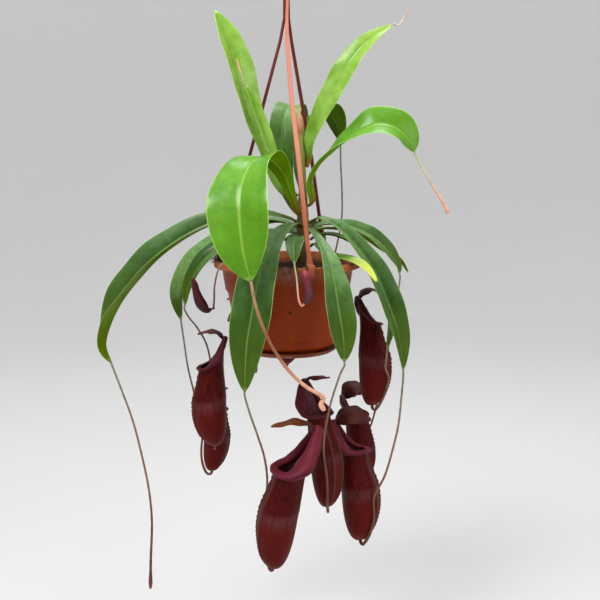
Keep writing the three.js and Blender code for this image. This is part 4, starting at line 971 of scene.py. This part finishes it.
def build_lid(name, cup):
    """Lid on its neck: a domed blade with a keel below it and a waved rim."""
    length, half, arch, tip = cup["lid"]
    face = cup_frame(cup)[3]
    start = cup_point(cup, 1, math.pi, CUP_WALL / 2)
    bends = [(0, -0.1), (0.08, 0.03), (0.35, arch), (0.7, mix(arch, tip, 0.3)), (1, tip)]
    route = Route([start + face * (out * length) + upward(up * length) for out, up in bends])
    roll = math.radians(cup.get("roll", 0))

    def point(t, q, under):
        heading = route.heading(t)
        side = Matrix.Rotation(roll, 3, heading) @ heading.cross(upward(1)).normalized()
        width = 1.3 + half * max(math.sin(math.pi * t**0.9), 0) ** 0.7
        wave = 0.08 * width * q * q * math.sin(2 * math.pi * t * 2.5 + len(name) + q)
        crown = 0.16 * width * (1 - abs(q)) - 0.5 * bell(q, 0.12) * under
        drop = 0.5 + (under - 0.5) * math.sqrt(max(1 - abs(q) ** 10, 0))
        return route.at(t) + side * (q * width) + side.cross(heading) * (crown + wave - drop)

    verts, faces, values = sheet(LID_STEPS, evenly(LID_HALF_ACROSS), point)
    look = "lid_brown" if name == "front" else "lid_maroon"
    piece = make(f"pitcher_{name}_lid", verts, faces, look, f"pitcher_{name}", values)


def build_young(name, young):
    def radius(t, angle):
        return number_at(young["radii"], t) * (1 + 0.04 * math.cos(2 * angle))

    node = f"pitcher_young_{name}"
    piece = shoot(node, Route(young["points"]), radius, 28, 40, young["look"], node)


# ---------------- tendrils

def approach(cup, beside, top, thick):
    """Points down beside the wall, under the foot and up into it."""
    foot, _, axis, _ = cup_frame(cup)
    phi = math.radians(beside)
    wall = [cup_point(cup, s, phi, -thick - TENDRIL_CLEAR) for s in (top, top * 0.55, 0.16, 0.05)]
    away = wall[-1] - foot
    away = (away - axis * away.dot(axis)).normalized()
    turn = [(6, 2), (2.6, 4.6), (0, 2.6), (0, SEAT_GAP)]
    return wall + [foot + away * out - axis * down for out, down in turn]


def build_tendril(name, tendril):
    """Tendril from its leaf's tip to a pitcher, or with a small bud at its free end where it thickens."""
    spine = leaf_spine(LEAVES[name])
    heading = (spine.at(1) - spine.at(0.996)).normalized()
    start = spine.at(1) + heading * SEAT_GAP
    points = [start, start + heading * 3] + tendril["points"]
    first, last = tendril["thick"]
    bud = False
    if "cup" in tendril:
        points += approach(PITCHERS[tendril["cup"]], tendril["beside"], tendril["top"], last)
    elif "young" in tendril:
        ends = [Vector(p) for p in YOUNG[tendril["young"]]["points"]]
        into = (ends[1] - ends[0]).normalized()
        points += [ends[0] - into * 2.5, ends[0] - into * SEAT_GAP]
    else:
        bud = last > first

    def radius(t, angle):
        swell = BUD_SWELL * max(1 - ((t - BUD_PLACE) / BUD_HALF) ** 2, 0) if bud else 0
        return mix(first, last, t**3) * (1 + 0.05 * math.sin(t * 130)) + swell

    route = Route(points)
    steps = max(24, int(route.length / 2.2))
    look = TENDRIL_LOOKS.get(name, "tendril_brown")
    piece = shoot(f"tendril_{name}", route, radius, 10, steps, look, f"tendril_{name}")


# ---------------- stem

TIP_POINTS = [(13, 3, 118), (12.4, 3, 128), (11.4, 3, 138), (10.4, 3, 145)]


def build_stem():
    """The ringed stem and the furled leaf at its top."""
    def bark(t, angle):
        rings = 0.22 * math.sin(t * 70) * (1 - 0.6 * t)
        return number_at(STEM_RADII, t) + rings + 0.12 * math.sin(3 * angle + t * 9)

    def furl(t, angle):
        body = 2.2 + 2.2 * math.sin(math.pi * min(t * 1.25, 1)) * (1 - t * 0.4) - 1.6 * t
        return body * (1 + 0.1 * math.sin(2 * angle + t * 7))

    piece = shoot("stem_trunk", STEM_ROUTE, bark, 24, 120, "stem_bark", "stem")
    piece = shoot("growing_tip", Route(TIP_POINTS), furl, 24, 40, "growing_tip", "stem")


# ---------------- pot, saucer and mix

POT_SEGMENTS = 144
MIX_SEGMENTS = 160
MIX_RINGS = 40
POT_BASE = -POT_HEIGHT
POT_FLOOR = POT_BASE + 2       # upper face of the floor


def pot_wall_radius(drop):
    """Outside of the wall, which steps in below the band."""
    top = RIM_RADIUS - LIP_OVERHANG
    slope = (top - POT_BASE_RADIUS - 3 - BAND_STEP) / POT_HEIGHT
    return top - slope * drop - (BAND_STEP if drop > BAND_DROP else 0)


def build_pot():
    hole = POST_RADIUS + SEAT_GAP
    foot = FOOT_RING_RADIUS
    foot_base = POT_BASE - FOOT_RING_DROP
    base = POT_BASE_RADIUS
    rim = RIM_RADIUS
    under_lip = pot_wall_radius(LIP_DROP)
    under_band = pot_wall_radius(BAND_DROP + 1)
    profile = [
        (hole, POT_BASE), (foot - 2, POT_BASE), (foot - 2, foot_base), (foot, foot_base), (foot, POT_BASE),
        (base - 2.5, POT_BASE), (base, POT_BASE + 2.5), (base + 2.3, POT_BASE + 9.2),
        (base + 3.5, POT_BASE + 9.6), (under_band, -BAND_DROP - 0.4),
        (pot_wall_radius(BAND_DROP - 1), -BAND_DROP + 0.4), (under_lip, -LIP_DROP), (rim - 0.5, -LIP_DROP),
        (rim, -LIP_DROP + 1), (rim, -1), (rim - 1, 0), (rim - 4, 0),
        (under_lip - WALL, -LIP_DROP), (under_band - WALL, -BAND_DROP - 1),
        (base + 1, POT_BASE + 9), (base - 3, POT_FLOOR), (hole, POT_FLOOR),
    ]
    piece = lathe("pot_body", rounded(profile, 0.8), POT_SEGMENTS, "pot_plastic", "pot", looped=True)


def build_saucer():
    """Shallow dish with a post whose head holds it to the pot's floor."""
    edge = SAUCER_RADIUS
    top = POT_BASE - 1.4
    base = POT_BASE - FOOT_RING_DROP - SEAT_GAP - WALL
    dish = base + WALL
    shoulder = POT_FLOOR + SEAT_GAP
    profile = [
        (0.2, base), (edge - 5, base), (edge - 2, base + 2), (edge, top - 1), (edge - 0.5, top),
        (edge - WALL, top), (edge - 4, dish + 1), (edge - 6, dish), (POST_RADIUS, dish),
        (POST_RADIUS, shoulder), (POST_HEAD, shoulder), (POST_RADIUS, POT_FLOOR + 3), (0.2, POT_FLOOR + 3),
    ]
    piece = lathe("saucer_dish", rounded(profile, 0.5), POT_SEGMENTS, "saucer_plastic", "saucer", looped=True)


def mix_radius():
    return pot_wall_radius(MIX_DROP) - WALL - SEAT_GAP - 0.4


def lumps(r, z, angle):
    """Lift of the mix's surface: broad and fine lumps that fade at the rim and round the stem."""
    if z < -MIX_DROP - 0.5:
        return 0
    x, y = r * math.cos(angle), r * math.sin(angle)
    broad = 0.8 * math.sin(x * 0.42 + 1.3 * math.sin(y * 0.3)) + 0.7 * math.cos(y * 0.5 + x * 0.21)
    rough = noise.noise(Vector((x * 0.35, y * 0.35, 0))) * 2.2 + noise.noise(Vector((x, y, 5))) * 1.2
    near_rim = clamp((mix_radius() - r) / 4 + 0.2)
    near_stem = clamp((math.hypot(x - STEM_X, y) - 8) / 5)
    return (broad + rough * near_rim) * 0.8 * near_stem


def build_mix():
    """The mix: a lumpy top, plain close to the stem, over a body that fills the pot."""
    low = POT_FLOOR + SEAT_GAP
    hollow = POST_HEAD + 1
    under_band = pot_wall_radius(BAND_DROP + 1) - WALL - 0.5
    side = [(0.2, low + 5), (hollow, low + 5), (hollow, low), (POT_BASE_RADIUS - 4, low),
            (POT_BASE_RADIUS + 0.2, POT_BASE + 9.2), (under_band, -BAND_DROP - 1)]
    inward = [i / MIX_RINGS for i in range(MIX_RINGS)]
    top = [(mix_radius() * (1 - share), -MIX_DROP + 4 * smooth(share * 1.3)) for share in inward]
    profile = side + top + [(0.2, -MIX_DROP + 4)]
    piece = lathe("potting_mix_top", profile, MIX_SEGMENTS, "potting_mix", "potting_mix", wobble=lumps)


# ---------------- hanger

HUB_SEGMENTS = 48


def hook_line():
    """Centreline of the hook: up from the hub, round the crown with its flat seat and down to the tip."""
    seat = RIM_DROP + HOOK_SECTION / 2
    middle = RIM_DROP - HOOK_RADIUS
    radius = HOOK_RADIUS + HOOK_SECTION / 2

    def arc(start, end, shift, steps):
        angles = [math.radians(mix(start, end, i / steps)) for i in range(steps + 1)]
        return [(shift + radius * math.cos(a), 0, middle + radius * math.sin(a)) for a in angles]

    shank = [(0, 0, HUB_HEIGHT + 3), (0, 0, middle - radius - 8), (3, 0, middle - radius - 3)]
    crown = [(HOOK_FLAT, 0, seat), (-HOOK_FLAT, 0, seat)]
    line = shank + arc(-62, 82, HOOK_FLAT, 28) + crown + arc(98, 200, -HOOK_FLAT, 20)
    return [Vector(p) for p in line]


def ribbon(name, centres, widths, depth, wide, corner, look, node):
    """Bar with a rounded rectangular section through the centres: wide is the direction of its widths."""
    section = rounded([(-1, 1), (1, 1), (1, -1), (-1, -1)], corner)
    verts = []
    for i, centre in enumerate(centres):
        heading = (centres[min(i + 1, len(centres) - 1)] - centres[max(i - 1, 0)]).normalized()
        deep = wide.cross(heading).normalized()
        verts += [centre + wide * (a * widths[i] / 2) + deep * (b * depth / 2) for a, b in section]
    piece = make(name, verts, closed_faces(len(centres), len(section)), look, node)


def build_hook():
    line = hook_line()
    ribbon("hook_bar", line, [HOOK_SECTION] * len(line), HOOK_SECTION, Vector((0, 1, 0)), 0.35,
           "hanger_plastic", "hanger_hook")
    low, radius = HUB_HEIGHT, HUB_RADIUS
    profile = [(0.2, low), (radius - 0.6, low), (radius, low + 1), (radius, low + 4), (3, low + 8),
               (0.2, low + 8)]
    piece = lathe("hook_hub", rounded(profile, 0.5), HUB_SEGMENTS, "hanger_plastic", "hanger_hook")


def build_strand(name, degrees, bow):
    """Strand from the hub to the rim, with the clip that grips the lip from below."""
    out = polar(degrees)
    side = Vector((-out.y, out.x, 0))
    outside = RIM_RADIUS + SEAT_GAP + STRAND_DEPTH / 2
    over = SEAT_GAP + STRAND_DEPTH / 2
    under = -LIP_DROP - SEAT_GAP
    bends = [out * r + upward(z) + side * bow * share for r, z, _, share in STRAND_LINE]
    bends += [out * r + upward(z) for r, z in (
        (RIM_RADIUS - 3, over + 0.6), (outside, over - 0.2), (outside, under - STRAND_DEPTH + 0.2))]
    shares = [share for _, _, share, _ in STRAND_LINE] + [CLIP_WIDTH - 0.1, CLIP_WIDTH, CLIP_WIDTH]
    breadth = STRAND_WIDTH if name == "front" else STRAND_WIDTH * SLIM_STRAND
    points, widths = [], []
    for i, (a, b) in enumerate(zip(bends, bends[1:])):
        steps = 8 if i < len(STRAND_LINE) - 1 else 4
        for k in range(steps + (i == len(bends) - 2)):
            w = k / steps
            points.append(a.lerp(b, w))
            widths.append(breadth * mix(shares[i], shares[i + 1], w))
    reach = LIP_OVERHANG + STRAND_DEPTH - 1.6
    toe = [out * (outside + 0.4 - reach * k / 6) + upward(under - STRAND_DEPTH / 2) for k in range(7)]
    # The strands behind get the darker copy of the plastic, which is painted shade.
    look = "hanger_plastic" if name == "front" else "hanger_painted_shade"
    bars = {"bar": (points, widths), "clip": (toe, [STRAND_WIDTH * CLIP_WIDTH] * len(toe))}
    for part, (line, across) in bars.items():
        ribbon(f"strand_{name}_{part}", line, across, STRAND_DEPTH, side, 0.45, look, f"hanger_strand_{name}")


# ---------------- roots and moss on the rim

MOSS_FIBRES = 260
ROOT_HAIRS = 60


def build_hairs(name, routes, radius, look):
    """Many thin hairs in one piece."""
    verts, faces = [], []
    for route in routes:
        more, skins, _ = tube(route, lambda t, angle: radius * (1 - 0.7 * t), 5, 14)
        base = len(verts)
        verts += more
        faces += [tuple(base + i for i in face) for face in skins]
    piece = make(name, verts, faces, look)


def build_moss():
    """Fibres of moss at the left of the rim and hair roots that hang over its front."""
    draw = random.Random(7)
    moss, roots = [], []
    for _ in range(MOSS_FIBRES):
        angle = draw.gauss(188, 13)
        start = polar(angle) * draw.uniform(54, 66)
        start.z = -MIX_DROP + 2.5
        lift = draw.uniform(8, 15)
        reach = polar(angle + draw.uniform(-60, 60)) * draw.uniform(2, 9)
        end = start + reach * 1.6 + upward(lift * draw.uniform(0.4, 1.1))
        moss.append(Route([start, start + reach * 0.5 + upward(lift), end]))
    for _ in range(ROOT_HAIRS):
        angle = draw.gauss(271, 7)
        start = polar(angle) * draw.uniform(58, 64)
        start.z = -MIX_DROP + 3
        crest = polar(angle + draw.uniform(-3, 3)) * (RIM_RADIUS - 1)
        crest.z = draw.uniform(0.5, 2.0)
        over = polar(angle + draw.uniform(-5, 5)) * (RIM_RADIUS + draw.uniform(0.6, 2.2))
        over.z = -draw.uniform(3, 8)
        end = over + Vector((draw.uniform(-5, 5), -draw.uniform(0, 1.5), -draw.uniform(2, 14)))
        roots.append(Route([start, crest, over, end]))
    build_hairs("moss_left", moss, 0.32, "moss_fibre")
    build_hairs("roots_front", roots, 0.28, "root_hair")


# ---------------- stage

CAMERA_PLACE = (12.07, -1000, 125)      # millimetres over the rim's centre
CAMERA_TILT = 9.38                      # degrees below level
FRAME_PIXELS = 600
FOCAL_PIXELS = 1042.5
SENSOR = 36.0
FLOOR_DROP = 0.72                       # metres, as the rest of the stage
STAGE_RADIUS = 3.2
STAGE_BEND = 1.6
STAGE_TOP = 4.2
LIGHT_AIM = Vector((0, 0, -0.3))
SKY_STRENGTH = 0.95


def build_camera():
    data = bpy.data.cameras.new("camera")
    data.sensor_width = SENSOR
    data.lens = FOCAL_PIXELS * SENSOR / FRAME_PIXELS
    data.dof.use_dof = False
    camera = show("camera", data)
    camera.location = on_rim(CAMERA_PLACE)
    camera.rotation_euler = (math.radians(90 - CAMERA_TILT), 0, 0)
    bpy.context.scene.camera = camera


def build_stage():
    """Grey floor that sweeps up into a round wall, paler towards its top."""
    s = Shader("stage_paint", 0.95, Specular_IOR_Level=0.0)
    place = s.place()
    tone = s.blend(s.noise(place, 1.5, 2), (0.52, 0.52, 0.52), (0.55, 0.55, 0.55))
    s.surface(Base_Color=s.blend(s.span(s.height(place), -0.6, 1.2), tone, (0.72, 0.72, 0.72)))
    segments, steps = 72, 14
    flat = STAGE_RADIUS - STAGE_BEND
    profile = [(flat * k / 4, -FLOOR_DROP) for k in range(1, 4)]
    for k in range(steps + 1):
        turn = math.pi / 2 * k / steps
        profile.append((flat + STAGE_BEND * math.sin(turn), STAGE_BEND * (1 - math.cos(turn)) - FLOOR_DROP))
    profile.append((STAGE_RADIUS, STAGE_TOP - FLOOR_DROP))
    middle = [(0, 1 + j, 1 + (j + 1) % segments) for j in range(segments)]
    sides = [tuple(reversed(face)) for face in band_faces(len(profile), segments, start=1)]
    verts = [(0, 0, -FLOOR_DROP)] + spun(profile, segments)
    floor = smooth_mesh("stage_floor", verts, middle + sides, "stage_paint")


def build_light(name, place, size, watts):
    data = bpy.data.lights.new(name, "AREA")
    data.shape = "DISK"
    data.size = size
    data.energy = watts
    lamp = show(name, data)
    lamp.location = place
    lamp.rotation_euler = (LIGHT_AIM - Vector(place)).to_track_quat("-Z", "Y").to_euler()


def build_lights():
    world = bpy.data.worlds.new("studio")
    world.use_nodes = True
    sky = world.node_tree.nodes["Background"]
    sky.inputs["Color"].default_value = (1, 1, 1, 1)
    sky.inputs["Strength"].default_value = SKY_STRENGTH
    bpy.context.scene.world = world
    bpy.context.scene.view_settings.view_transform = "Standard"
    build_light("key", (-0.9, -1.1, 1.3), 0.9, 31)
    build_light("fill", (1.5, -1.4, 0.2), 1.4, 12)
    build_light("top", (0.2, 0.5, 1.5), 1.3, 30)


# ---------------- build

build_camera()
build_stage()
build_lights()
build_pot()
build_saucer()
build_mix()
build_hook()
for key, (degrees, bow) in STRANDS.items():
    build_strand(key, degrees, bow)
build_stem()
build_moss()
for key, leaf in LEAVES.items():
    build_leaf(key, leaf)
for key, tendril in TENDRILS.items():
    build_tendril(key, tendril)
for key, cup in PITCHERS.items():
    build_wall(key, cup)
    build_lip(key, cup)
    build_lid(key, cup)
for key, young in YOUNG.items():
    build_young(key, young)
